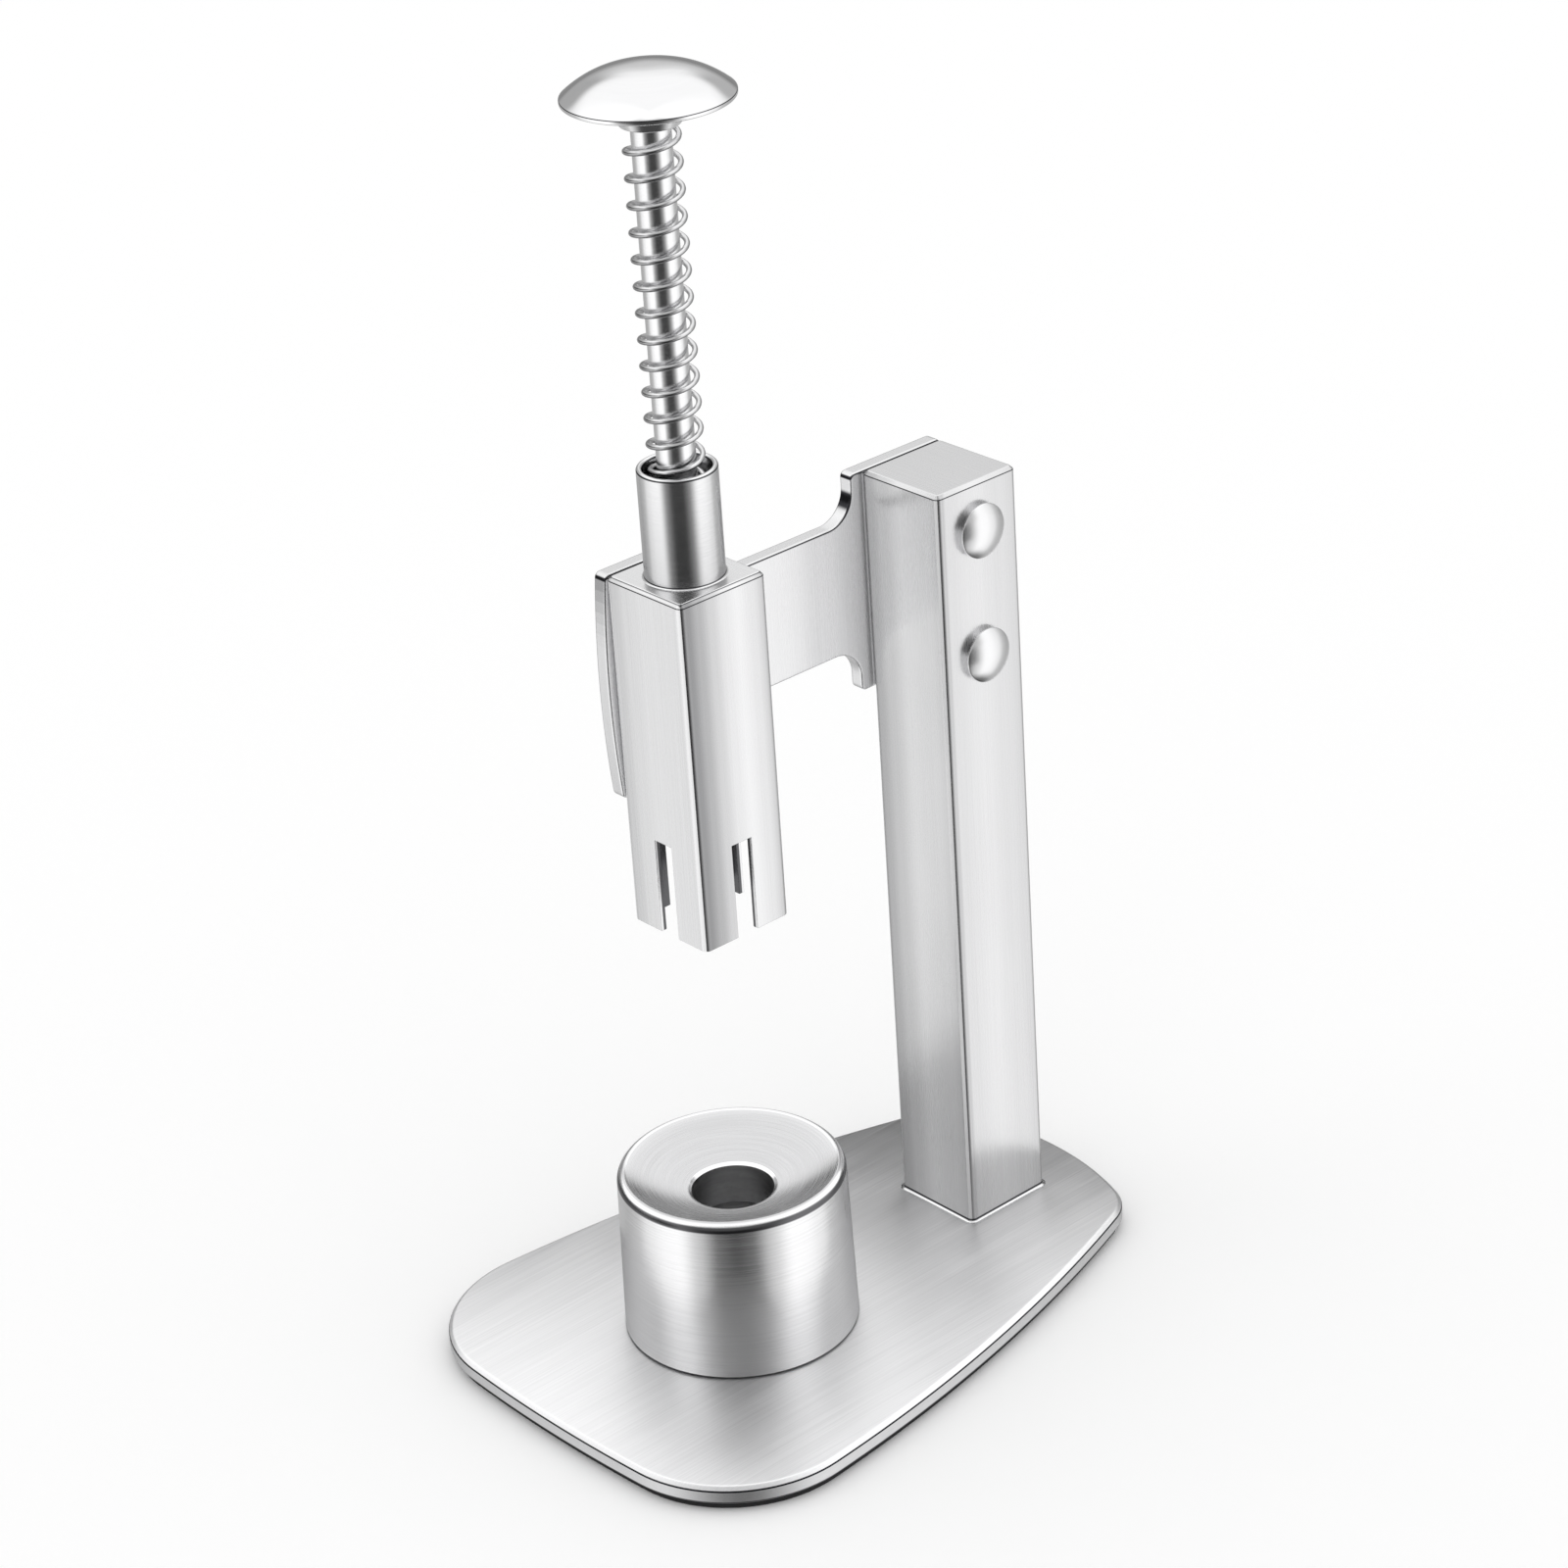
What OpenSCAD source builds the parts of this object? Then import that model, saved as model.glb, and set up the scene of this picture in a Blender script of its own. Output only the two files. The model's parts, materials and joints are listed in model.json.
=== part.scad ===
// Free-standing cherry pitter: a spring-loaded plunger in a slotted square head, held over a
// dished seat by a dogbone arm on a square post that stands on a bowed base plate.
// The plunger axis is X = 0, Y = 0, the post stands on +Y, the front edge is on -Y, and
// Z = 0 is the underside of the sole.

/* [Base] */
// Widest width of the base plate
base_w = 96; // [88:1:108]
// Distance from the plunger axis to the front edge of the plate
base_front = 47.6; // [42:0.2:56]
// Distance from the middle of the post to the rear edge of the plate
base_rear = 22.3; // [18:0.1:30]
// Width of the plate across its rear corners
rear_w = 58.6; // [52:0.2:70]
// Thickness of the base plate
plate_t = 4; // [3.4:0.1:6]
// Radius of the front corners
front_r = 25.4; // [16:0.2:34]
// Radius of the rear corners
rear_r = 11.6; // [8:0.2:18]
// Radius of the bow in the long sides
side_bow_r = 342; // [300:2:600]
// Radius of the bow in the front edge
front_bow_r = 360; // [200:5:600]
// Radius of the bow in the rear edge
rear_bow_r = 61; // [50:1:200]
// Chamfer along the plate's edges
plate_chamfer = 0.8; // [0.3:0.1:1.2]
// Thickness of the anti-slip sole
sole_t = 1.2; // [0.8:0.1:3]
// Distance that the sole stays inside the plate's edge
sole_inset = 1; // [0.5:0.1:4]

/* [Post] */
// Width of the square tube that the post and the head are cut from
tube_w = 20; // [19:0.5:24]
// Radius on the corners of the square tube
tube_r = 1.2; // [0.6:0.1:2]
// Wall of the post tube
post_wall = 1.5; // [1:0.1:2]
// Height of the post above the plate
post_h = 154.4; // [145:0.2:180]
// Distance from the plunger axis to the middle of the post
reach = 61.5; // [54:0.5:75]
// Thickness of the plates that close the post and the head
end_t = 2; // [1.5:0.1:3]
// Chamfer round the top of the post and the head
end_chamfer = 0.7; // [0.3:0.1:1]
// Height of the threaded plug in the post's foot
plug_h = 12; // [8:0.5:20]
// Clearance between the plug and the tube
plug_gap = 0.1; // [0.05:0.05:0.3]
// Distance between the two foot screws
foot_pitch = 9.2; // [9:0.1:10]

/* [Arm] */
// Thickness of the arm plate
arm_t = 3; // [2:0.1:4]
// Height of the pads at both ends of the arm
pad_h = 44; // [38:0.5:50]
// Distance that a pad stands past the tube towards the other end
pad_lip = 2.8; // [1:0.1:5]
// Bulge of the outer end of each pad
pad_bulge = 1.2; // [0.4:0.1:2]
// Height of the web between the pads
web_h = 25.8; // [18:0.2:32]
// Radius of the fillets between web and pads
web_fillet = 6; // [3:0.2:6.4]
// Radius of the pads' corners
pad_corner = 1.2; // [0.5:0.1:2]
// Distance between the two fasteners of a pad
pad_pitch = 25; // [20:0.5:28]

/* [Fasteners] */
// Diameter of the dome heads on the post
dome_d = 11.2; // [9:0.2:13]
// Height of a dome head
dome_h = 2.9; // [2:0.1:4]
// Height of the straight edge under a dome
dome_edge = 0.6; // [0.3:0.1:1]
// Diameter of the sleeve behind a dome head
sleeve_d = 6; // [5.6:0.1:7]
// Thread diameter of the screws
screw_d = 4; // [3.4:0.1:4.2]
// Diameter of the button heads
button_d = 7.6; // [7:0.1:9]
// Height of the button heads
button_h = 2.2; // [1.8:0.1:3]
// Height of the straight edge under a button head
button_edge = 0.3; // [0.1:0.1:0.6]
// Width across flats of the hexagon sockets
socket_w = 2.5; // [2:0.1:3]
// Radial clearance of a screw in a plain hole
hole_gap = 0.2; // [0.1:0.05:0.4]
// Radial clearance that stands for the thread
thread_gap = 0.05; // [0.02:0.01:0.1]
// Length of thread that a foot screw has in its plug
foot_grip = 8; // [5:0.5:11]
// Length of thread that an arm screw has inside the post
arm_grip = 8; // [4:0.5:14]
// Distance that a sleeve stays short of the arm plate
sleeve_end_gap = 0.2; // [0.1:0.05:0.4]
// Solid length under a dome before its thread begins
nut_blind = 2; // [1:0.1:4]

/* [Head] */
// Height of the slotted head, with its top plate
head_h = 68.2; // [64:0.2:76]
// Wall of the head tube
head_wall = 1.2; // [1:0.1:1.6]
// Width of the slots in the head's four walls
slot_w = 4.6; // [3:0.1:7]
// Height of the slots, which are open at the bottom
slot_h = 18.6; // [10:0.2:24]
// Thickness of the threaded strip behind the head's arm pad
strip_t = 2.4; // [1.8:0.1:2.6]
// Width of the threaded strip
strip_w = 9; // [7:0.5:12]
// Length of the threaded strip
strip_h = 34; // [32:0.5:40]

/* [Guide] */
// Outer diameter of the guide tube
guide_d = 14.4; // [13.6:0.1:16]
// Wall of the guide tube
guide_wall = 1.1; // [0.8:0.1:1.2]
// Height of the guide tube above the head
guide_h = 20.6; // [16:0.2:26]
// Length of the bush inside the guide tube
bush_spigot = 2.6; // [2:0.1:4]
// Thickness of the bush's flange
bush_flange_t = 1.5; // [1:0.1:2]
// Clearance between the bush's flange and the head's walls
flange_gap = 0.8; // [0.3:0.1:1.2]
// Length of the bush's nose below its flange
bush_nose = 4; // [1:0.1:6]
// Diameter of the bush's nose
bush_nose_d = 10.6; // [9.6:0.1:11]
// Radial clearance of the bush in the guide tube, and of the tube in the head's top plate
bush_gap = 0.03; // [0.02:0.01:0.1]

/* [Plunger] */
// Diameter of the plunger rod
rod_d = 7; // [6.4:0.1:7.4]
// Radial running clearance of the rod in its bush
rod_gap = 0.05; // [0.02:0.01:0.1]
// Travel of the plunger
stroke = 61; // [45:0.5:61]
// Height of the plunger's tip inside the head at rest
tip_inset = 0.6; // [0.4:0.1:3]
// Gap between the cap's collar and the guide tube when the plunger is fully pressed
press_gap = 0.6; // [0.4:0.1:4]
// Diameter of the push cap
cap_d = 30; // [24:0.5:38]
// Height of the cap's dome
dome_rise = 4.9; // [3:0.1:7]
// Fullness of the dome's curve, where 2 is a parabola
dome_power = 2.6; // [2:0.1:4]
// Thickness of the cap's rim
cap_rim = 0.8; // [0.5:0.1:2]
// Rise of the cap's underside from the collar to the rim
cap_undercut = 0.6; // [0.2:0.1:1]
// Height of the cone under the cap
collar_h = 3.8; // [2.4:0.1:5]
// Diameter of the collar's lower end
collar_d = 10.6; // [9.6:0.1:11]
// Diameter of the collar's upper end
collar_top_d = 14; // [12.4:0.1:18]
// Diameter of the threaded studs at both ends of the rod
stud_d = 4; // [3:0.1:4.4]
// Length of the threaded studs
stud_h = 5; // [4:0.5:5.5]
// Length of the punch below the rod
punch_h = 14; // [10:0.5:20]
// Diameter of the punch's blades
punch_d = 6.4; // [5:0.1:6.8]
// Height of the blades
blade_h = 8; // [5:0.5:9]
// Thickness of the blades
blade_t = 1.5; // [1:0.1:2.4]
// Height of the taper at the blades' points
point_h = 2.6; // [1:0.1:4]
// Thickness of the stop washer
washer_t = 1; // [0.6:0.1:1.5]
// Diameter of the stop washer and the clip
washer_d = 10.6; // [9.6:0.1:11]
// Thickness of the retaining clip
clip_t = 0.8; // [0.6:0.1:1.2]
// Depth of the clip's groove in the rod
groove_depth = 0.7; // [0.4:0.1:0.9]

/* [Spring] */
// Wire diameter of the return spring
wire_d = 1; // [0.8:0.05:1.1]
// Mean diameter of the return spring
spring_d = 9.3; // [9:0.1:9.8]
// Pitch of the open coils
spring_pitch = 4.8; // [4.4:0.1:6]
// Pitch of the closed end turn
closed_pitch = 1.7; // [1.7:0.1:2.4]
// Gap between the spring's ends and what they press on
spring_seat_gap = 0.3; // [0.1:0.05:0.4]

/* [Seat] */
// Outer diameter of the seat at its foot
seat_d = 44.6; // [40:0.2:50]
// Taper of the seat's outside over its height, on the radius
seat_draft = 0.7; // [0:0.1:1.2]
// Height of the seat's rim above the plate
seat_h = 33.3; // [28:0.1:38]
// Wall round the stone chamber in the seat's foot
seat_wall = 2.4; // [1.6:0.1:4]
// Chamfer round the seat's foot
foot_chamfer = 0.4; // [0.2:0.1:0.8]
// Radius of the shoulder outside the rim
shoulder_r = 2.8; // [2.2:0.1:4]
// Distance from the seat's side to its rim
rim_inset = 1.7; // [1.2:0.1:2]
// Depth of the dish, from the rim to the edge of the stone hole
dish_depth = 4.7; // [3:0.1:6]
// Radius of the stone hole
hole_r = 7.8; // [6:0.1:10]
// Bevel round the top of the stone hole
hole_bevel = 0.6; // [0.3:0.1:1.2]
// Length of the stone hole above the chamber
hole_h = 8.8; // [5:0.2:12]
// Height of the spigot that the seat lifts off
spigot_h = 3.5; // [2.5:0.1:6]
// Radial clearance between the seat and its spigot
spigot_gap = 0.2; // [0.1:0.05:0.4]
// Thread diameter of the spigot's screw
spigot_screw_d = 5; // [4:0.1:6]

/* [Hidden] */

STEEL = [0.80, 0.81, 0.82];
POLISHED = [0.88, 0.89, 0.90];
DARK_STEEL = [0.55, 0.56, 0.58];
SOLE = [0.10, 0.10, 0.11];
BUSH = [0.86, 0.84, 0.78];
FINE = 96;
SMALL = 40;
EPS = 0.01;
DOME_STEPS = 14;

// Levels above the underside of the sole
deck_z = sole_t + plate_t;
post_top_z = deck_z + post_h;
pad_mid_z = post_top_z - pad_h / 2;
head_foot_z = post_top_z - head_h;
head_roof_z = post_top_z - end_t;
guide_top_z = post_top_z + guide_h;
collar_z = guide_top_z + stroke + press_gap;
cap_z = collar_z + collar_h;
bush_top_z = head_roof_z + bush_spigot;
bush_foot_z = head_roof_z - bush_flange_t - bush_nose;
washer_z = bush_foot_z - washer_t;
clip_z = washer_z - clip_t;
tip_z = head_foot_z + tip_inset;
rod_foot_z = tip_z + punch_h;

// Depths and radii that follow from the fits
half_w = tube_w / 2;
head_bore = tube_w - 2 * head_wall;
post_bore = tube_w - 2 * post_wall;
guide_bore_r = guide_d / 2 - guide_wall;
csk_r = screw_d;
seat_top_r = seat_d / 2 - seat_draft;
chamber_r = seat_d / 2 - seat_wall;
spigot_csk_share = 0.95;
spigot_csk_r = spigot_screw_d * spigot_csk_share;
spigot_chamfer = 0.8;
spigot_screw_end = 0.5;
plug_corner = 0.5;
strip_corner = 1;
bore_corner = 0.3;
groove_r = rod_d / 2 - groove_depth;
stud_end_gap = 0.8;
slip_gap = 0.1;
clip_gap = 0.05;
clip_inset = 0.4;
clip_mouth = 0.8;
shank_step = 1;
// Shares of a screw's size that its socket takes, and of a blade's size that its point takes
csk_socket_share = 0.45;
button_socket_share = 0.65;
point_rise_share = 0.4;
point_root_share = 0.32;
point_tip_share = 0.4;
CUT = 1;

// Centres of the arcs in the base's outline, for the half with positive X
front_c = [base_w / 2 - front_r,
           front_bow_r - base_front - sqrt(pow(front_bow_r - front_r, 2) - pow(base_w / 2 - front_r, 2))];
front_bow_c = [0, front_bow_r - base_front];
rear_edge = reach + base_rear;
rear_bow_c = [0, rear_edge - rear_bow_r];
rear_c = [rear_w / 2 - rear_r,
          rear_bow_c[1] + sqrt(pow(rear_bow_r - rear_r, 2) - pow(rear_w / 2 - rear_r, 2))];
side_bow_c = inner_tangent_centre(front_c, side_bow_r - front_r, rear_c, side_bow_r - rear_r);

// Centre on the left of the line from a to b that lies da from a and db from b
function inner_tangent_centre(a, da, b, db) =
    let (d = norm(b - a),
         u = (b - a) / d,
         along = (da * da - db * db + d * d) / (2 * d),
         off = sqrt(da * da - along * along))
    [a[0] + u[0] * along - u[1] * off, a[1] + u[1] * along + u[0] * off];

// Direction in degrees from point a to point b
function heading(a, b) = atan2(b[1] - a[1], b[0] - a[0]);

// Points on an arc about c from angle a0 to angle a1, in n steps
function arc(c, r, a0, a1, n) =
    [for (i = [0:n]) let (a = a0 + (a1 - a0) * i / n) [c[0] + r * cos(a), c[1] + r * sin(a)]];

// Half of the base's outline from the front to the rear, drawn in by e, as five arcs
function base_half(e) =
    let (a1 = heading(front_bow_c, front_c),
         a2 = heading(side_bow_c, front_c),
         a3 = heading(side_bow_c, rear_c),
         a4 = heading(rear_bow_c, rear_c))
    concat(arc(front_bow_c, front_bow_r - e, -90, a1, 3),
           [for (i = [1:14]) arc(front_c, front_r - e, a1, a2, 14)[i]],
           [for (i = [1:10]) arc(side_bow_c, side_bow_r - e, a2, a3, 10)[i]],
           [for (i = [1:8]) arc(rear_c, rear_r - e, a3, a4, 8)[i]],
           [for (i = [1:4]) arc(rear_bow_c, rear_bow_r - e, a4, 90, 4)[i]]);

function base_outline(e) =
    let (h = base_half(e), n = len(h))
    concat(h, [for (i = [n - 2:-1:1]) [-h[i][0], h[i][1]]]);

// Corners of a rounded rectangle of size w by h about its middle
function rounded_rect(w, h, r) =
    concat(arc([w / 2 - r, h / 2 - r], r, 0, 90, 6),
           arc([r - w / 2, h / 2 - r], r, 90, 180, 6),
           arc([r - w / 2, r - h / 2], r, 180, 270, 6),
           arc([w / 2 - r, r - h / 2], r, 270, 360, 6));

module square_bar(h, w, r) {
    linear_extrude(height = h) polygon(rounded_rect(w, w, r));
}

// Bar along Z whose top edges are cut at 45 degrees on all four sides
module chamfered_bar(h, w, r, c) {
    section = [[-w / 2, 0], [w / 2, 0], [w / 2, h - c], [w / 2 - c, h], [c - w / 2, h], [-w / 2, h - c]];
    intersection() {
        square_bar(h, w, r);
        translate([0, w, 0]) rotate([90, 0, 0]) linear_extrude(height = 2 * w) polygon(section);
        translate([-w, 0, 0]) rotate([90, 0, 90]) linear_extrude(height = 2 * w) polygon(section);
    }
}

// Round cutter of radius r that passes a body of height h standing at z0, on both sides
module through_bore(z0, h, r, fn = SMALL) {
    translate([0, 0, z0 - CUT]) cylinder(h = h + 2 * CUT, r = r, $fn = fn);
}

// Round cutter along +X from x0 to x1 at (y, z)
module x_bar(x0, x1, y, z, d) {
    translate([x0, y, z]) rotate([0, 90, 0]) cylinder(h = x1 - x0, d = d, $fn = SMALL);
}

module countersink(r_head, r_shank, z0, grow) {
    translate([0, 0, z0])
        cylinder(h = r_head - r_shank, r1 = r_head + grow, r2 = r_shank + grow, $fn = SMALL);
}

// Plate with the base's outline and both edges chamfered
module bowed_plate(h, c) {
    hull() {
        translate([0, 0, c]) linear_extrude(height = h - 2 * c) polygon(base_outline(0));
        linear_extrude(height = h) polygon(base_outline(c));
    }
}

module sole_pad() {
    color(SOLE) linear_extrude(height = sole_t) polygon(base_outline(sole_inset));
}

function foot_screw_ys() = [reach - foot_pitch / 2, reach + foot_pitch / 2];

module base_plate() {
    color(STEEL) difference() {
        translate([0, 0, sole_t]) bowed_plate(plate_t, plate_chamfer);
        for (y = foot_screw_ys()) translate([0, y, 0]) {
            cylinder(h = deck_z + CUT, d = screw_d + 2 * hole_gap, $fn = SMALL);
            countersink(csk_r, screw_d / 2, sole_t, hole_gap);
        }
        cylinder(h = deck_z + CUT, d = spigot_screw_d + 2 * hole_gap, $fn = SMALL);
        countersink(spigot_csk_r, spigot_screw_d / 2, sole_t, hole_gap);
    }
}

// Square tube standing at z0
module square_tube(z0, h, wall) {
    translate([0, 0, z0]) difference() {
        square_bar(h, tube_w, tube_r);
        translate([0, 0, -CUT]) square_bar(h + 2 * CUT, tube_w - 2 * wall, max(tube_r - wall, bore_corner));
    }
}

function pad_screw_zs() = [pad_mid_z - pad_pitch / 2, pad_mid_z + pad_pitch / 2];

module post_tube() {
    color(STEEL) difference() {
        translate([0, reach, 0]) square_tube(deck_z, post_h - end_t, post_wall);
        for (z = pad_screw_zs()) x_bar(-half_w - CUT, half_w + CUT, reach, z, sleeve_d + 2 * hole_gap);
    }
}

module post_end_plate() {
    color(STEEL) translate([0, reach, post_top_z - end_t])
        chamfered_bar(end_t, tube_w, tube_r, end_chamfer);
}

module post_foot_plug() {
    color(DARK_STEEL) difference() {
        translate([0, reach, deck_z]) square_bar(plug_h, post_bore - 2 * plug_gap, plug_corner);
        for (y = foot_screw_ys()) translate([0, y, 0])
            through_bore(deck_z, foot_grip, screw_d / 2 + thread_gap);
    }
}

// Countersunk screw pointing up from z0, with a hexagon socket in its head
module countersunk_screw(d, r_head, length, z0) {
    difference() {
        union() {
            translate([0, 0, z0]) cylinder(h = length, d = d, $fn = SMALL);
            countersink(r_head, d / 2, z0, 0);
        }
        translate([0, 0, z0 - EPS]) cylinder(h = d * csk_socket_share, d = socket_w / cos(30), $fn = 6);
    }
}

module post_foot_screws() {
    color(DARK_STEEL)
        for (y = foot_screw_ys()) translate([0, y, 0])
            countersunk_screw(screw_d, csk_r, plate_t + foot_grip, sole_t);
}

// Low disc under the stone chamber, which centres the seat on the plate
module seat_spigot() {
    r = chamber_r - spigot_gap;
    color(STEEL) translate([0, 0, deck_z]) difference() {
        rotate_extrude($fn = FINE)
            polygon([[0, 0], [r, 0], [r, spigot_h - spigot_chamfer],
                     [r - spigot_chamfer, spigot_h], [0, spigot_h]]);
        through_bore(0, spigot_h, spigot_screw_d / 2 + thread_gap);
    }
}

module spigot_screw() {
    length = plate_t + spigot_h - spigot_screw_end;
    color(DARK_STEEL) countersunk_screw(spigot_screw_d, spigot_csk_r, length, sole_t);
}

// Turned seat: tapered side, round shoulder, a dish that is part of a sphere, and a stone hole that
// opens into a chamber
module fruit_seat() {
    shoulder_c = [seat_top_r - shoulder_r,
                  seat_h - sqrt(pow(shoulder_r, 2) - pow(shoulder_r - rim_inset, 2))];
    body = concat([[0, 0], [seat_d / 2 - foot_chamfer, 0], [seat_d / 2, foot_chamfer]],
                  arc(shoulder_c, shoulder_r, 0, 90, 10),
                  [[0, shoulder_c[1] + shoulder_r]]);
    rim = [seat_top_r - rim_inset, seat_h];
    lip = [hole_r + hole_bevel, seat_h - dish_depth];
    dish_z = (rim * rim - lip * lip) / (2 * dish_depth);
    dish_r = norm(rim - [0, dish_z]);
    ceiling = lip[1] - hole_h;
    color(STEEL) translate([0, 0, deck_z]) rotate_extrude($fn = FINE) difference() {
        polygon(body);
        translate([0, dish_z]) circle(r = dish_r, $fn = 2 * FINE);
        polygon([[-CUT, lip[1] + CUT], [lip[0] + CUT, lip[1] + CUT], [hole_r, lip[1] - hole_bevel],
                 [hole_r, ceiling - CUT], [-CUT, ceiling - CUT]]);
        translate([-CUT, -CUT]) square([chamber_r + CUT, ceiling + CUT]);
    }
}

// A quarter of the arm's outline, Y along the sketch's X and height along its Y: the bowed end of the
// pad, its corner, which is tangent to the bow and to the top, the inner corner and the web's fillet
function arm_quarter() =
    let (pad_in = half_w + pad_lip,
         top = pad_h / 2,
         web = web_h / 2,
         bow_r = (top * top + pad_bulge * pad_bulge) / (2 * pad_bulge),
         bow_c = [bow_r - half_w - pad_bulge, 0],
         level = top - pad_corner,
         corner_c = [bow_c[0] - sqrt(pow(bow_r - pad_corner, 2) - level * level), level],
         turn = heading(bow_c, corner_c))
    concat(arc(bow_c, bow_r, 180, turn, 6),
           arc(corner_c, pad_corner, turn, 90, 4),
           arc([pad_in - pad_corner, level], pad_corner, 90, 0, 5),
           arc([pad_in + web_fillet, web + web_fillet], web_fillet, 180, 270, 8));

function arm_outline() =
    let (q = arm_quarter(), n = len(q))
    concat(q,
           [for (i = [n - 1:-1:0]) [reach - q[i][0], q[i][1]]],
           [for (i = [1:n - 1]) [reach - q[i][0], -q[i][1]]],
           [for (i = [n - 1:-1:1]) [q[i][0], -q[i][1]]]);

module arm_plate() {
    color(STEEL) difference() {
        translate([-half_w - arm_t, 0, pad_mid_z]) rotate([90, 0, 90])
            linear_extrude(height = arm_t) polygon(arm_outline());
        for (y = [0, reach], z = pad_screw_zs())
            x_bar(-half_w - arm_t - CUT, 0, y, z, screw_d + 2 * hole_gap);
    }
}

// Half section of a domed disc of diameter d: an arc of rise h - edge over a straight edge
module dome_section(d, h, edge) {
    rise = h - edge;
    ball_r = (d * d / 4 + rise * rise) / (2 * rise);
    intersection() {
        translate([0, h - ball_r]) circle(r = ball_r, $fn = FINE);
        square([d / 2, h + 1]);
    }
}

// Domed sleeve nut: the dome lies on the post's +X face and the sleeve runs through both walls
module dome_sleeve_nut(z) {
    sleeve = tube_w - sleeve_end_gap;
    translate([half_w, reach, z]) rotate([0, 90, 0]) difference() {
        union() {
            rotate_extrude($fn = FINE) dome_section(dome_d, dome_h, dome_edge);
            translate([0, 0, -sleeve]) cylinder(h = sleeve + dome_edge / 2, d = sleeve_d, $fn = SMALL);
        }
        translate([0, 0, -sleeve - CUT])
            cylinder(h = sleeve + CUT - nut_blind, r = screw_d / 2 + thread_gap, $fn = SMALL);
    }
}

module dome_sleeve_nuts() {
    color(POLISHED) for (z = pad_screw_zs()) dome_sleeve_nut(z);
}

// Button head screw whose head lies on the arm's outer face at (y, z) and whose thread points to +X
module button_screw(y, z, length) {
    translate([-half_w - arm_t, y, z]) rotate([0, -90, 0]) difference() {
        union() {
            rotate_extrude($fn = FINE) dome_section(button_d, button_h, button_edge);
            translate([0, 0, -length]) cylinder(h = length + button_edge, d = screw_d, $fn = SMALL);
        }
        translate([0, 0, button_h * (1 - button_socket_share)])
            cylinder(h = button_h, d = socket_w / cos(30), $fn = 6);
    }
}

module arm_screws() {
    color(POLISHED) for (z = pad_screw_zs()) button_screw(reach, z, arm_t + arm_grip);
}

module head_screws() {
    color(POLISHED) for (z = pad_screw_zs()) button_screw(0, z, arm_t + head_wall + strip_t);
}

module head_threaded_strip() {
    x0 = -head_bore / 2;
    color(DARK_STEEL) difference() {
        translate([x0, 0, pad_mid_z - strip_h / 2]) rotate([90, 0, 90])
            linear_extrude(height = strip_t)
                translate([0, strip_h / 2]) polygon(rounded_rect(strip_w, strip_h, strip_corner));
        for (z = pad_screw_zs()) x_bar(x0 - CUT, x0 + strip_t + CUT, 0, z, screw_d + 2 * thread_gap);
    }
}

module head_tube() {
    color(STEEL) difference() {
        square_tube(head_foot_z, head_h - end_t, head_wall);
        for (a = [0, 90]) rotate([0, 0, a])
            translate([-tube_w, -slot_w / 2, head_foot_z - CUT]) cube([2 * tube_w, slot_w, slot_h + CUT]);
        for (z = pad_screw_zs()) x_bar(-half_w - CUT, 0, 0, z, screw_d + 2 * hole_gap);
    }
}

module head_end_plate() {
    color(STEEL) difference() {
        translate([0, 0, head_roof_z]) chamfered_bar(end_t, tube_w, tube_r, end_chamfer);
        through_bore(head_roof_z, end_t, guide_d / 2 + bush_gap, FINE);
    }
}

module guide_tube() {
    rim = guide_wall / 2;
    color(POLISHED) translate([0, 0, head_roof_z]) rotate_extrude($fn = FINE)
        polygon(concat([[guide_bore_r, 0], [guide_d / 2, 0]],
                       arc([guide_d / 2 - rim, end_t + guide_h - rim], rim, 0, 180, 8)));
}

module guide_bush() {
    length = bush_top_z - bush_foot_z;
    flange_d = head_bore - 2 * flange_gap;
    color(BUSH) translate([0, 0, bush_foot_z]) difference() {
        union() {
            cylinder(h = bush_nose + bush_flange_t, d = bush_nose_d, $fn = FINE);
            translate([0, 0, bush_nose]) cylinder(h = bush_flange_t, d = flange_d, $fn = FINE);
            cylinder(h = length, r = guide_bore_r - bush_gap, $fn = FINE);
        }
        through_bore(0, length, rod_d / 2 + rod_gap, FINE);
    }
}

module plunger_rod() {
    r = rod_d / 2;
    groove_foot = clip_z - rod_foot_z;
    groove_top = washer_z - rod_foot_z;
    shoulder = cap_z - rod_foot_z;
    stud_top = shoulder + stud_h - stud_end_gap;
    color(POLISHED) translate([0, 0, rod_foot_z]) difference() {
        rotate_extrude($fn = FINE)
            polygon([[0, 0], [r, 0], [r, groove_foot], [groove_r, groove_foot], [groove_r, groove_top],
                     [r, groove_top], [r, shoulder], [stud_d / 2, shoulder], [stud_d / 2, stud_top],
                     [0, stud_top]]);
        through_bore(0, stud_h, stud_d / 2 + thread_gap);
    }
}

// Stoning punch: a round shank that screws into the rod, with four crossed blades cut to points below
module punch() {
    shank_z = tip_z + blade_h;
    color(POLISHED) {
        translate([0, 0, shank_z]) cylinder(h = punch_h - blade_h, d = rod_d, $fn = FINE);
        translate([0, 0, shank_z + shank_step])
            cylinder(h = punch_h - blade_h - shank_step + stud_h, d = stud_d, $fn = SMALL);
        intersection() {
            translate([0, 0, tip_z]) union() {
                translate([-punch_d / 2, -blade_t / 2, 0]) cube([punch_d, blade_t, blade_h + 1]);
                translate([-blade_t / 2, -punch_d / 2, 0]) cube([blade_t, punch_d, blade_h + 1]);
            }
            translate([0, 0, tip_z]) rotate_extrude($fn = FINE)
                polygon([[0, point_h * point_rise_share], [punch_d * point_root_share, 0],
                         [punch_d * point_tip_share, 0], [punch_d / 2, point_h],
                         [punch_d / 2, blade_h + 1], [0, blade_h + 1]]);
        }
    }
}

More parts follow.
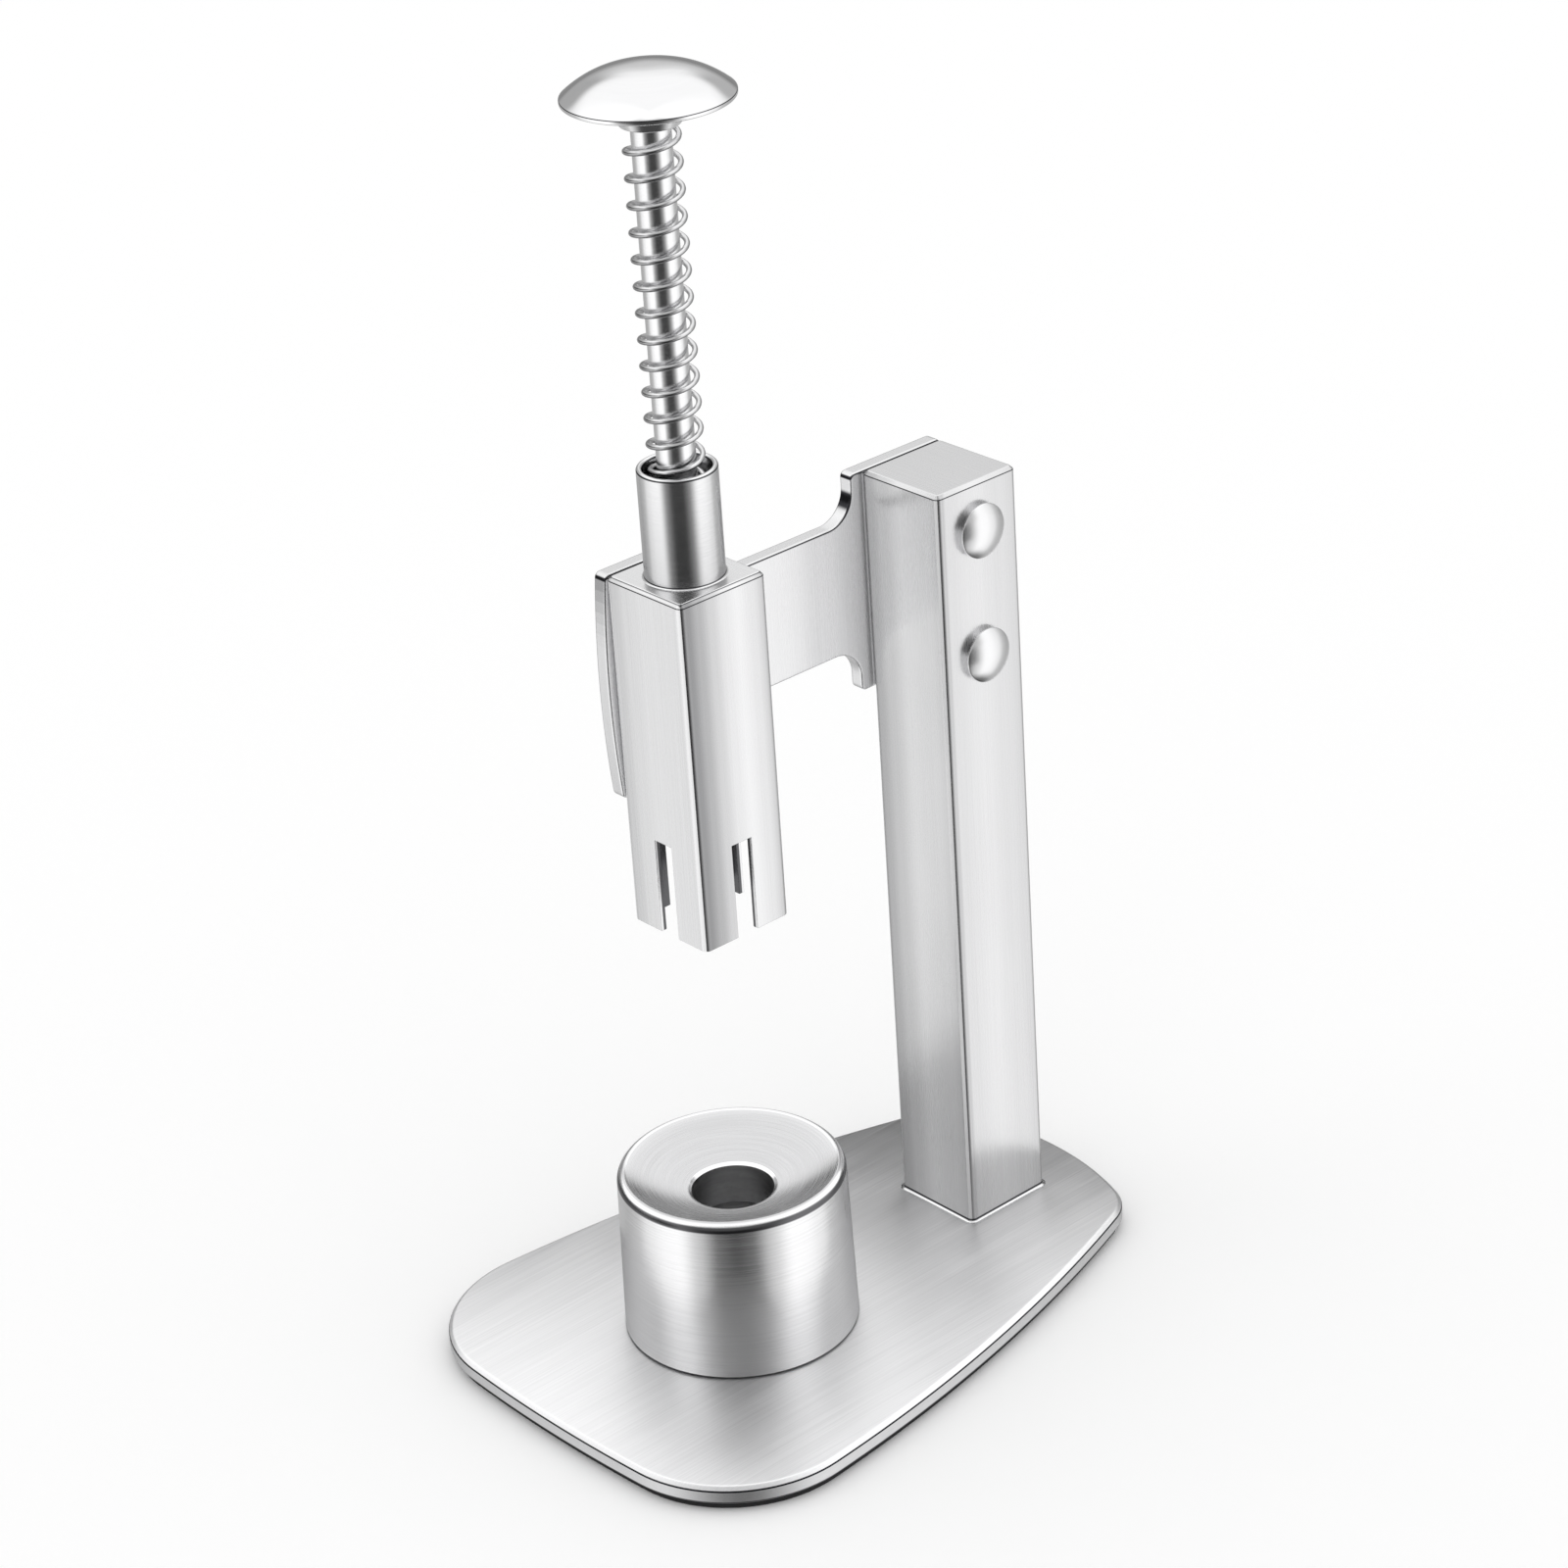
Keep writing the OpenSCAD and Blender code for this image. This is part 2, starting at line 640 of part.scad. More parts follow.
module stop_washer() {
    color(DARK_STEEL) translate([0, 0, washer_z]) difference() {
        cylinder(h = washer_t, d = washer_d, $fn = FINE);
        through_bore(0, washer_t, rod_d / 2 + slip_gap);
    }
}

// Open clip that snaps into the rod's groove from the side
module retaining_clip() {
    mouth = 2 * groove_r * clip_mouth;
    color(DARK_STEEL) translate([0, 0, clip_z + clip_gap]) difference() {
        cylinder(h = clip_t - 2 * clip_gap, d = washer_d - 2 * clip_inset, $fn = FINE);
        through_bore(0, clip_t, groove_r + clip_gap);
        translate([0, -mouth / 2, -CUT]) cube([washer_d, mouth, clip_t + 2 * CUT]);
    }
}

module cap_collar() {
    color(POLISHED) translate([0, 0, collar_z]) difference() {
        cylinder(h = collar_h, d1 = collar_d, d2 = collar_top_d, $fn = FINE);
        through_bore(0, collar_h, rod_d / 2 + slip_gap);
    }
}

// Domed cap: its height falls with a power of the radius, and its underside rises in a shallow cone
// to the rim
module push_cap() {
    r = cap_d / 2;
    dome = [for (i = [0:DOME_STEPS]) let (s = sin(90 * i / DOME_STEPS))
            [r * s, cap_undercut + cap_rim + dome_rise * (1 - pow(s, dome_power))]];
    color(POLISHED) translate([0, 0, cap_z]) difference() {
        rotate_extrude($fn = FINE)
            polygon(concat(dome, [[r, cap_undercut], [collar_top_d / 2, 0], [0, 0]]));
        translate([0, 0, -CUT]) cylinder(h = stud_h + CUT, r = stud_d / 2 + thread_gap, $fn = SMALL);
    }
}

// The spring is one tube swept along a helix: a closed turn on the bush, open coils above
spring_foot_z = bush_top_z + spring_seat_gap + wire_d / 2;
spring_head_z = collar_z - spring_seat_gap - wire_d / 2;
open_turns = (spring_head_z - spring_foot_z - closed_pitch) / spring_pitch;
spring_turns = 1 + open_turns;
RINGS = 8;
SIDES = 6;
// Direction in degrees at which the wire's upper end stops
spring_head_angle = 155;

function helix_z(t) = t < 1 ? closed_pitch * t : closed_pitch + spring_pitch * (t - 1);
function helix_angle(t) = spring_head_angle + 360 * (t - spring_turns);
function helix_point(t) =
    [spring_d / 2 * cos(helix_angle(t)), spring_d / 2 * sin(helix_angle(t)), spring_foot_z + helix_z(t)];

ring_count = ceil(spring_turns * RINGS);
function ring_turn(i) = spring_turns * i / ring_count;
// Each ring lies in the plane of the plunger axis and the wire, tipped by the coil's slope
function ring(i) =
    let (t = ring_turn(i),
         p = helix_point(t),
         a = helix_angle(t),
         slope = atan2(t < 1 ? closed_pitch : spring_pitch, PI * spring_d),
         out = [cos(a), sin(a), 0],
         up = [sin(a) * sin(slope), -cos(a) * sin(slope), cos(slope)])
    [for (k = [0:SIDES - 1]) let (b = 360 * k / SIDES) p + wire_d / 2 * (cos(b) * out + sin(b) * up)];

spring_points = [for (i = [0:ring_count]) each ring(i)];
last_ring = ring_count * SIDES;
spring_faces = concat(
    [for (k = [1:SIDES - 2]) [0, k, k + 1]],
    [for (i = [0:ring_count - 1], k = [0:SIDES - 1])
        let (a = i * SIDES + k, b = i * SIDES + (k + 1) % SIDES) [a, a + SIDES, b + SIDES]],
    [for (i = [0:ring_count - 1], k = [0:SIDES - 1])
        let (a = i * SIDES + k, b = i * SIDES + (k + 1) % SIDES) [a, b + SIDES, b]],
    [for (k = [1:SIDES - 2]) [last_ring, last_ring + k + 1, last_ring + k]]);

// Least gap of the wire to its own next coil, measured between centre points over half a turn apart
spring_gap = min([for (i = [0:ring_count], j = [i + RINGS / 2:1:min(i + 2 * RINGS, ring_count)])
                  norm(helix_point(ring_turn(i)) - helix_point(ring_turn(j)))]) - wire_d;
echo(least_gap_of_the_spring_to_itself_mm = spring_gap, turns = spring_turns);

module return_spring() {
    color(POLISHED) polyhedron(points = spring_points, faces = spring_faces, convexity = 10);
}

sole_pad();
base_plate();
post_tube();
post_end_plate();
post_foot_plug();
post_foot_screws();
seat_spigot();
spigot_screw();
fruit_seat();
arm_plate();
dome_sleeve_nuts();
arm_screws();
head_screws();
head_threaded_strip();
head_tube();
head_end_plate();
guide_tube();
guide_bush();
plunger_rod();
punch();
stop_washer();
retaining_clip();
cap_collar();
push_cap();
return_spring();
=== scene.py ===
"""Looks of a free-standing cherry pitter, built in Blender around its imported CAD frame.

The stand is a bowed base plate with a square post, a dogbone arm and a slotted head. A plunger with a
push cap slides in the head against a return spring, and a turned seat stands under it.

Lengths are in metres and in the frame of the CAD: the plunger axis is X = 0, Y = 0, the post stands on
+Y, the front edge lies on -Y and Z = 0 is the underside of the sole.
"""
from __future__ import annotations

import json
import logging
import math
from dataclasses import dataclass, field
from enum import Enum
from functools import partial, reduce
from typing import Sequence

import bpy
import numpy as np
from mathutils import Matrix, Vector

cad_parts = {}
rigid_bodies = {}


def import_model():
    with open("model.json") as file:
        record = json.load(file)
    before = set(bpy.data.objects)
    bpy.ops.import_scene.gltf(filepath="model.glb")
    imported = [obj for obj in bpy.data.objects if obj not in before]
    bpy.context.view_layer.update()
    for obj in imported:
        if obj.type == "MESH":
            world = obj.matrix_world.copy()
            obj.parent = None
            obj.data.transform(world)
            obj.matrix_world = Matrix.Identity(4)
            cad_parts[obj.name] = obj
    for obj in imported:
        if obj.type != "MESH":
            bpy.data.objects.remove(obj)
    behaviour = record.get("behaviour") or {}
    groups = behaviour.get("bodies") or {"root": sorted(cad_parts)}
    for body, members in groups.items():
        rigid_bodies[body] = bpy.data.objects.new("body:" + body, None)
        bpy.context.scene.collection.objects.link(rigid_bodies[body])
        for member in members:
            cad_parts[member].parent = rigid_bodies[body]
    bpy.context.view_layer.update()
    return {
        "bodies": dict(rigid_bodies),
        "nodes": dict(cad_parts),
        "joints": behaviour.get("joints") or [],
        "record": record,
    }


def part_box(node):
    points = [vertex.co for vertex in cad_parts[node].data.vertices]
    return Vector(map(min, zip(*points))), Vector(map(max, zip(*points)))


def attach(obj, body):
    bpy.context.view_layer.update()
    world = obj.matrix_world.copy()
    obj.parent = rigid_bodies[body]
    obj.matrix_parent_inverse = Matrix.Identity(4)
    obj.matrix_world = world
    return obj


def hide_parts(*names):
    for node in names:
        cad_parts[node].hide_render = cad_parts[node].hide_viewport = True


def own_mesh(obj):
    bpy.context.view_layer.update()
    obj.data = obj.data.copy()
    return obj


log = logging.getLogger("cherry_pitter")

Socket = bpy.types.NodeSocket
Stops = tuple[tuple[float, float], ...]
Corners = Sequence[tuple[float, float, float]]

MM = 0.001
# Distance from an edge of the points that hold smooth shading off the flat beside it
HOLD = 0.12 * MM
# Radius of the first and the last ring of a turned body, which a fan closes
POLE = 0.05 * MM
# Points in a ring of a turned piece, of a small one and of the seat
TURN_STEPS = 128
SMALL_TURN_STEPS = 96
SEAT_TURN_STEPS = 192
# Angle between two faces, in degrees, from which their edge is drawn sharp
SHARP_ANGLE = 42
# Rings that round off a wire's end, in degrees, and how far it bulges in radii of the wire
END_ANGLES = (80, 55, 28)
END_BULGE = 0.35


class Body(str, Enum):
    """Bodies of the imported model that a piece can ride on."""

    STAND = "stand"
    PLUNGER = "plunger"
    SEAT = "seat"


class Slot(str, Enum):
    """Material slots of the record."""

    PLATE = "brushed_plate"
    TUBE = "brushed_tube"
    TURNED = "turned_steel"
    POLISHED = "polished_steel"
    WIRE = "spring_wire"
    PLAIN = "plain_steel"
    BUSH = "bush_plastic"
    SOLE = "sole_rubber"


class Grain(Enum):
    """Direction in which a finish was worked."""

    ALONG_Y = "along Y"
    ALONG_Z = "along Z"
    SQUARE = "along Z on upright faces and along X on level ones"
    TURNED = "round the plunger axis"


class Ends(Enum):
    """What closes the first and the last ring of a loft."""

    FLAT = "one flat face at each end"
    POLES = "a fan to a middle point at each end"
    LOOP = "the last ring joins the first"


# Surfaces


@dataclass(frozen=True)
class Skin:
    """One closed surface: its points, its four-sided faces and its other faces."""

    points: np.ndarray
    quads: np.ndarray
    caps: tuple[tuple[int, ...], ...] = ()

    def moved(self, y: float) -> Skin:
        """The same surface, moved along Y."""
        return Skin(self.points + np.array([0.0, y, 0.0]), self.quads, self.caps)

    def along_x(self, spot: Sequence[float], sign: int) -> Skin:
        """A surface made about Z, turned so that its top points along X, and moved.

        Args:
            spot: Where its origin goes.
            sign: 1 to point to +X, -1 to point to -X.

        Returns:
            The turned and moved surface.
        """
        x, y, z = self.points.T
        turned = np.stack([z, x, y] if sign > 0 else [-z, y, x], axis=1)
        return Skin(turned + np.asarray(spot), self.quads, self.caps)


def arc(centre: Sequence[float], radius: float, start: float, stop: float, steps: int) -> np.ndarray:
    """Points on a circle, centre + radius (cos a, sin a), at equal angles from start to stop.

    Args:
        centre: Middle of the circle.
        radius: Radius of the circle.
        start: First angle in degrees.
        stop: Last angle in degrees.
        steps: Number of equal steps between the two.

    Returns:
        An array of steps + 1 points in the plane.
    """
    angle = np.radians(np.linspace(start, stop, steps + 1))
    return np.asarray(centre, float) + radius * np.stack([np.cos(angle), np.sin(angle)], axis=1)


def heading(start: Sequence[float], stop: Sequence[float]) -> float:
    """Direction in degrees from one point of the plane to another."""
    return math.degrees(math.atan2(stop[1] - start[1], stop[0] - start[0]))


def rounded(corners: Corners, closed: bool, steps: int) -> np.ndarray:
    """A path whose corners are replaced by arcs.

    The arc at a corner of radius r touches both sides at the distance r / tan(half the inner angle) from
    the corner, and its middle lies on the line that halves the angle, at r / sin(half the inner angle).

    Args:
        corners: One (first coordinate, second coordinate, radius) for each corner.
        closed: Whether the last corner joins the first.
        steps: Number of steps in each arc.

    Returns:
        The points of the path in the plane.
    """
    spots = np.array([c[:2] for c in corners], float)
    parts = []
    for i, (spot, (_, _, radius)) in enumerate(zip(spots, corners)):
        is_end = not closed and i in (0, len(corners) - 1)
        if is_end or radius <= 0:
            parts.append(spot[None])
            continue
        before = spots[i - 1] - spot
        after = spots[(i + 1) % len(corners)] - spot
        before /= np.linalg.norm(before)
        after /= np.linalg.norm(after)
        half = math.acos(float(np.clip(before @ after, -1, 1))) / 2
        middle = spot + (before + after) / np.linalg.norm(before + after) * radius / math.sin(half)
        start = heading(middle, spot + before * radius / math.tan(half))
        turn = heading(middle, spot + after * radius / math.tan(half)) - start
        parts.append(arc(middle, radius, start, start + (turn + 180) % 360 - 180, steps))
    return np.concatenate(parts)


def held(path: np.ndarray, closed: bool = False, hold: float = HOLD) -> np.ndarray:
    """The path with two more points near the ends of each long side.

    The added points keep the smooth shading of a rounded edge off the flat beside it.

    Args:
        path: Points in the plane.
        closed: Whether the last point joins the first.
        hold: Distance of the added points from the ends of a side.

    Returns:
        The path, in which a side longer than four times hold has points at hold from both ends.
    """
    following = np.roll(path, -1, axis=0)
    side = following - path
    length = np.linalg.norm(side, axis=1)
    share = (hold / np.maximum(length, 1e-12))[:, None]
    slots = np.stack([path, path + side * share, following - side * share], axis=1)
    kept = np.ones(slots.shape[:2], bool)
    kept[:, 1:] = (length > 4 * hold)[:, None]
    if not closed:
        kept[-1, 1:] = False
    return slots[kept]


def eased(corners: Corners, closed: bool = False, steps: int = 4, hold: float = HOLD) -> np.ndarray:
    """A path with rounded corners and held flats."""
    return held(rounded(corners, closed, steps), closed, hold)


def four_sided(side: Corners) -> list[tuple[float, float, float]]:
    """Corners of one side, followed by the same turned by 90, 180 and 270 degrees.

    Args:
        side: Corners (x, y, radius) on the side at +X, climbing.

    Returns:
        The corners of all four sides, counter-clockwise.
    """
    corners = []
    for _ in range(4):
        corners += side
        side = [(-y, x, r) for x, y, r in side]
    return corners


def weld_bead(size: float, wall: float, sign: int, foot: float, steps: int) -> np.ndarray:
    """Hollow quarter circle between a floor and a wall.

    With a from 0 to 90 degrees a point is wall + sign size (1 - sin a), foot + size (1 - cos a).

    Args:
        size: Radius of the bead.
        wall: Place of the wall.
        sign: 1 where the bead lies past the wall, -1 where it lies before it.
        foot: Height of the floor.
        steps: Number of steps.

    Returns:
        The points, from the floor up.
    """
    sweep = np.radians(np.linspace(0, 90, steps + 1))
    return np.stack([wall + sign * size * (1 - np.sin(sweep)), foot + size * (1 - np.cos(sweep))], axis=1)


def spun(angle: np.ndarray, radius: float | np.ndarray, height: float | np.ndarray) -> np.ndarray:
    """Points (radius cos angle, radius sin angle, height)."""
    return np.stack([radius * np.cos(angle), radius * np.sin(angle), height + 0 * angle], axis=-1)


def at_height(outline: np.ndarray, z: float) -> np.ndarray:
    """An outline in the plane as a ring at the height z."""
    return np.column_stack([outline, np.full(len(outline), z)])


def drawn_in(outline: np.ndarray, edge: np.ndarray) -> np.ndarray:
    """Stack of rings, each a closed outline drawn in along its own normals.

    A point moves inwards at a right angle to the chord between its two neighbours.

    Args:
        outline: Points of the outline, counter-clockwise.
        edge: Points (inset, height) from the foot to the top; each makes one ring.

    Returns:
        Array of rings, points and coordinates.
    """
    chord = np.roll(outline, -1, axis=0) - np.roll(outline, 1, axis=0)
    chord /= np.linalg.norm(chord, axis=1, keepdims=True)
    inwards = np.stack([-chord[:, 1], chord[:, 0]], axis=1)
    return np.array([at_height(outline + inset * inwards, z) for inset, z in edge])


def loft(rings: np.ndarray, ends: Ends) -> Skin:
    """A surface through a stack of closed rings.

    Point j of ring i is joined to point j + 1 of the same ring and to point j of ring i + 1. With rings
    that run counter-clockwise and climb, every face points outwards.

    Args:
        rings: Array of rings, points and coordinates.
        ends: What closes the stack.

    Returns:
        The surface.
    """
    rows, columns = rings.shape[:2]
    index = np.arange(rows * columns).reshape(rows, columns)
    lower = index if ends is Ends.LOOP else index[:-1]
    upper = np.roll(index, -1, axis=0) if ends is Ends.LOOP else index[1:]
    quads = np.stack([lower, np.roll(lower, -1, axis=1), np.roll(upper, -1, axis=1), upper], axis=-1)
    points = rings.reshape(-1, 3)
    caps: tuple[tuple[int, ...], ...] = ()
    if ends is Ends.FLAT:
        caps = (tuple(index[0][::-1].tolist()), tuple(index[-1].tolist()))
    if ends is Ends.POLES:
        foot, top = rows * columns, rows * columns + 1
        points = np.concatenate([points, rings[[0, -1]].mean(axis=1)])
        low = np.stack([np.roll(index[0], -1), index[0], np.full(columns, foot)], axis=1)
        high = np.stack([index[-1], np.roll(index[-1], -1), np.full(columns, top)], axis=1)
        caps = tuple(map(tuple, np.concatenate([low, high]).tolist()))
    return Skin(points, quads.reshape(-1, 4), caps)


def lathe(profile: np.ndarray, ends: Ends = Ends.POLES, steps: int = TURN_STEPS) -> Skin:
    """A body of revolution about the Z axis.

    A point (r, z) of the profile becomes the ring (r cos a, r sin a, z), with a from 0 to a full turn.

    Args:
        profile: Points (radius, height) that run outwards at the foot and up at the side.
        ends: LOOP for a closed profile round a bore, POLES for one that starts and ends at the axis.
        steps: Number of points in a ring.

    Returns:
        The surface.
    """
    angle = np.linspace(0, 2 * np.pi, steps, endpoint=False)
    return loft(spun(angle, profile[:, :1], profile[:, 1:]), ends)


def walled(outer: np.ndarray, inner: np.ndarray, levels: np.ndarray, cut: np.ndarray) -> Skin:
    """A tube with openings in its wall.

    The wall is a grid of cells, levels high and one outline round. A cell that is cut has no faces, and
    wherever a kept cell has a cut cell or nothing beside it, a face joins the outer skin to the inner.

    Args:
        outer: Outer outline, counter-clockwise.
        inner: Inner outline, with a point for each point of the outer one.
        levels: Heights of the grid, climbing.
        cut: For each cell, by height and by place round the outline, whether it is left out.

    Returns:
        The surface.
    """
    points = np.concatenate([at_height(o, z) for o in (outer, inner) for z in levels])
    shift = len(levels) * len(outer)
    out = np.arange(shift).reshape(len(levels), len(outer))
    right = np.roll(out, -1, axis=1)
    kept = ~cut
    a, b, c, d = out[:-1][kept], right[:-1][kept], right[1:][kept], out[1:][kept]
    faces = [np.stack([a, b, c, d], axis=1), np.stack([a, d, c, b], axis=1) + shift]
    padded = np.pad(kept, ((1, 1), (0, 0)))
    foot = padded[1:] & ~padded[:-1]
    top = padded[:-1] & ~padded[1:]
    starts = kept & ~np.roll(kept, 1, axis=1)
    stops = kept & ~np.roll(kept, -1, axis=1)
    for low, high in ((out[foot], right[foot]), (right[:-1][stops], right[1:][stops])):
        faces.append(np.stack([low, low + shift, high + shift, high], axis=1))
    for low, high in ((out[top], right[top]), (out[:-1][starts], out[1:][starts])):
        faces.append(np.stack([low, high, high + shift, low + shift], axis=1))
    used, renumbered = np.unique(np.concatenate(faces), return_inverse=True)
    return Skin(points[used], renumbered.reshape(-1, 4))


def wire(path: np.ndarray, out: np.ndarray, up: np.ndarray, radius: float, sides: int) -> Skin:
    """A round wire along a path.

    The ring at a point of the path is point + radius (cos b out + sin b up), with b from 0 to a full turn,
    and three shrinking rings round off each end.

    Args:
        path: Points of the wire's middle.
        out: For each point a direction across the wire.
        up: For each point the direction at a right angle to out and to the wire.
        radius: Radius of the wire.
        sides: Number of points in a ring.

    Returns:
        The surface.
    """
    angle = np.linspace(0, 2 * np.pi, sides, endpoint=False)[None, :, None]
    along = np.cross(out, up)
    rings = path[:, None] + radius * (np.cos(angle) * out[:, None] + np.sin(angle) * up[:, None])
    sweep, bulge = np.radians(END_ANGLES), END_BULGE * radius
    ends = []
    for row, sign in ((0, -1), (-1, 1)):
        middle = path[row] + sign * (bulge * np.sin(sweep))[:, None] * along[row]
        ends.append(middle[:, None] + np.cos(sweep)[:, None, None] * (rings[row] - path[row])[None])
    return loft(np.concatenate([ends[0], rings, ends[1][::-1]]), Ends.POLES)


# Finishes

# Height of the normal from which a face counts as level, and where level faces get rougher
LEVEL_FROM = 0.8
LEVEL_STEP = (0.7, 0.85)
# Detail of the scratches' noise and of a fine grain's, and roughness of the first
FINE_DETAIL = 3.0
SCRATCH_ROUGHNESS = 0.6
# How far the scratches' noise and the fine one go from their middle
SCRATCH_REACH = 0.25
FINE_REACH = 0.2
# Haze: patches per metre, detail, and the share by which it changes the roughness
HAZE_SCALE, HAZE_DETAIL, HAZE_SHARE = 60.0, 2.0, 0.06
# Radius at which scratches round the axis have their true length, and the share of a face's scratches
TRUE_RADIUS = 20 * MM
FACE_SHARE = 0.7
# A rounded corner by the product of the normal's X and Y, and its Y side by their difference;
# together they place the painted highlight strip down the corners
CORNER_STEP = (0.08, 0.25)
SIDE_STEP = (-0.1, 0.1)
QUARTER_TURN = 0.25


class NodeGraph:
    """Short calls for making the nodes of a material or of the world."""

    def __init__(self, owner: bpy.types.Material | bpy.types.World) -> None:
        """Clears the nodes of a material or of the world for use.

        Args:
            owner: The material or the world.
        """
        owner.use_nodes = True
        self.tree = owner.node_tree
        self.tree.nodes.clear()

    def put(self, value: object, socket: Socket) -> None:
        """Links a socket to another, or sets its number.

        Args:
            value: Socket or number that is given.
            socket: Input that takes it.
        """
        if isinstance(value, Socket):
            self.tree.links.new(value, socket)
        else:
            socket.default_value = value

    def node(self, kind: str, inputs: dict | None = None, **settings: object) -> bpy.types.Node:
        """Adds one node.

        Args:
            kind: Blender's name for the node's type, without the part that all types share.
            inputs: Numbers or sockets for its inputs, by name or place.
            settings: Its other settings.

        Returns:
            The node.
        """
        made = self.tree.nodes.new("ShaderNode" + kind)
        for name, value in settings.items():
            setattr(made, name, value)
        for key, value in (inputs or {}).items():
            self.put(value, made.inputs[key])
        return made

    def show(self, shader: bpy.types.Node, where: str = "Material") -> None:
        """Shows a shader on the material, or in the world."""
        self.node("Output" + where, {"Surface": shader.outputs[0]})

    def maths(self, operation: str, *values: object) -> Socket:
        """Result of one arithmetic step on numbers or sockets."""
        return self.node("Math", dict(enumerate(values)), operation=operation).outputs[0]

    def times(self, *factors: object) -> Socket:
        """Product of numbers or sockets."""
        return reduce(partial(self.maths, "MULTIPLY"), factors)

    def vector(self, operation: str, *values: object, output: str = "Vector") -> Socket:
        """Result of one arithmetic step on vectors."""
        return self.node("VectorMath", dict(enumerate(values)), operation=operation).outputs[output]

    def place(self) -> Socket:
        """Object coordinates of the point that is shaded."""
        return self.node("TexCoord").outputs["Object"]

    def normal(self) -> Sequence[Socket]:
        """The three parts of the face's normal."""
        return self.parts(self.node("NewGeometry").outputs["Normal"])

    def parts(self, vector: Socket) -> Sequence[Socket]:
        """The three parts of a vector."""
        return self.node("SeparateXYZ", {0: vector}).outputs[:]

    def joined(self, *parts: object) -> Socket:
        """Vector of three parts."""
        return self.node("CombineXYZ", dict(enumerate(parts))).outputs[0]

    def ramp(self, value: object, low: float, high: float, to_low: float, to_high: float,
             kind: str = "LINEAR") -> Socket:
        """Straight ramp of a value, held at both ends."""
        return self.node("MapRange", dict(enumerate((value, low, high, to_low, to_high))),
                         interpolation_type=kind).outputs[0]

    def step(self, value: object, low: float, high: float, to_low: float = 0.0,
             to_high: float = 1.0) -> Socket:
        """Smooth step of a value, from to_low below low to to_high above high."""
        return self.ramp(value, low, high, to_low, to_high, "SMOOTHSTEP")

    def swing(self, noise: Socket, reach: float, middle: float, amount: float) -> Socket:
        """Number that a noise, which goes reach from one half, moves by an amount about a middle."""
        return self.ramp(noise, 0.5 - reach, 0.5 + reach, middle - amount, middle + amount)

    def curve(self, value: object, stops: Stops) -> Socket:
        """Smooth curve through a few stops.

        Args:
            value: Number that the curve is taken at.
            stops: Pairs (number, result), in climbing order; the curve is level beyond both ends.

        Returns:
            The result.
        """
        first, last = stops[0][0], stops[-1][0]
        scale = max(1.0, *(result for _, result in stops))
        made = self.node("ValToRGB", {0: self.ramp(value, first, last, 0.0, 1.0)})
        ramp = made.color_ramp
        ramp.interpolation = "EASE"
        while len(ramp.elements) < len(stops):
            ramp.elements.new(0.5)
        for element, (place, result) in zip(ramp.elements, stops):
            element.position = (place - first) / (last - first)
            element.color = (result / scale,) * 3 + (1.0,)
        return self.times(made.outputs[0], scale)

    def mix(self, share: object, low: object, high: object) -> Socket:
        """Number between low and high."""
        return self.node("Mix", {0: share, 2: low, 3: high}, data_type="FLOAT").outputs[0]

    def grey(self, value: object) -> Socket:
        """Colour whose three parts are one value."""
        return self.node("CombineColor", {0: value, 1: value, 2: value}).outputs[0]

    def noise(self, vector: object, detail: float, roughness: float = 0.5) -> Socket:
        """Noise from 0 to 1 at a vector."""
        return self.node("TexNoise", {"Vector": vector, "Scale": 1.0, "Detail": detail,
                                      "Roughness": roughness}).outputs[0]


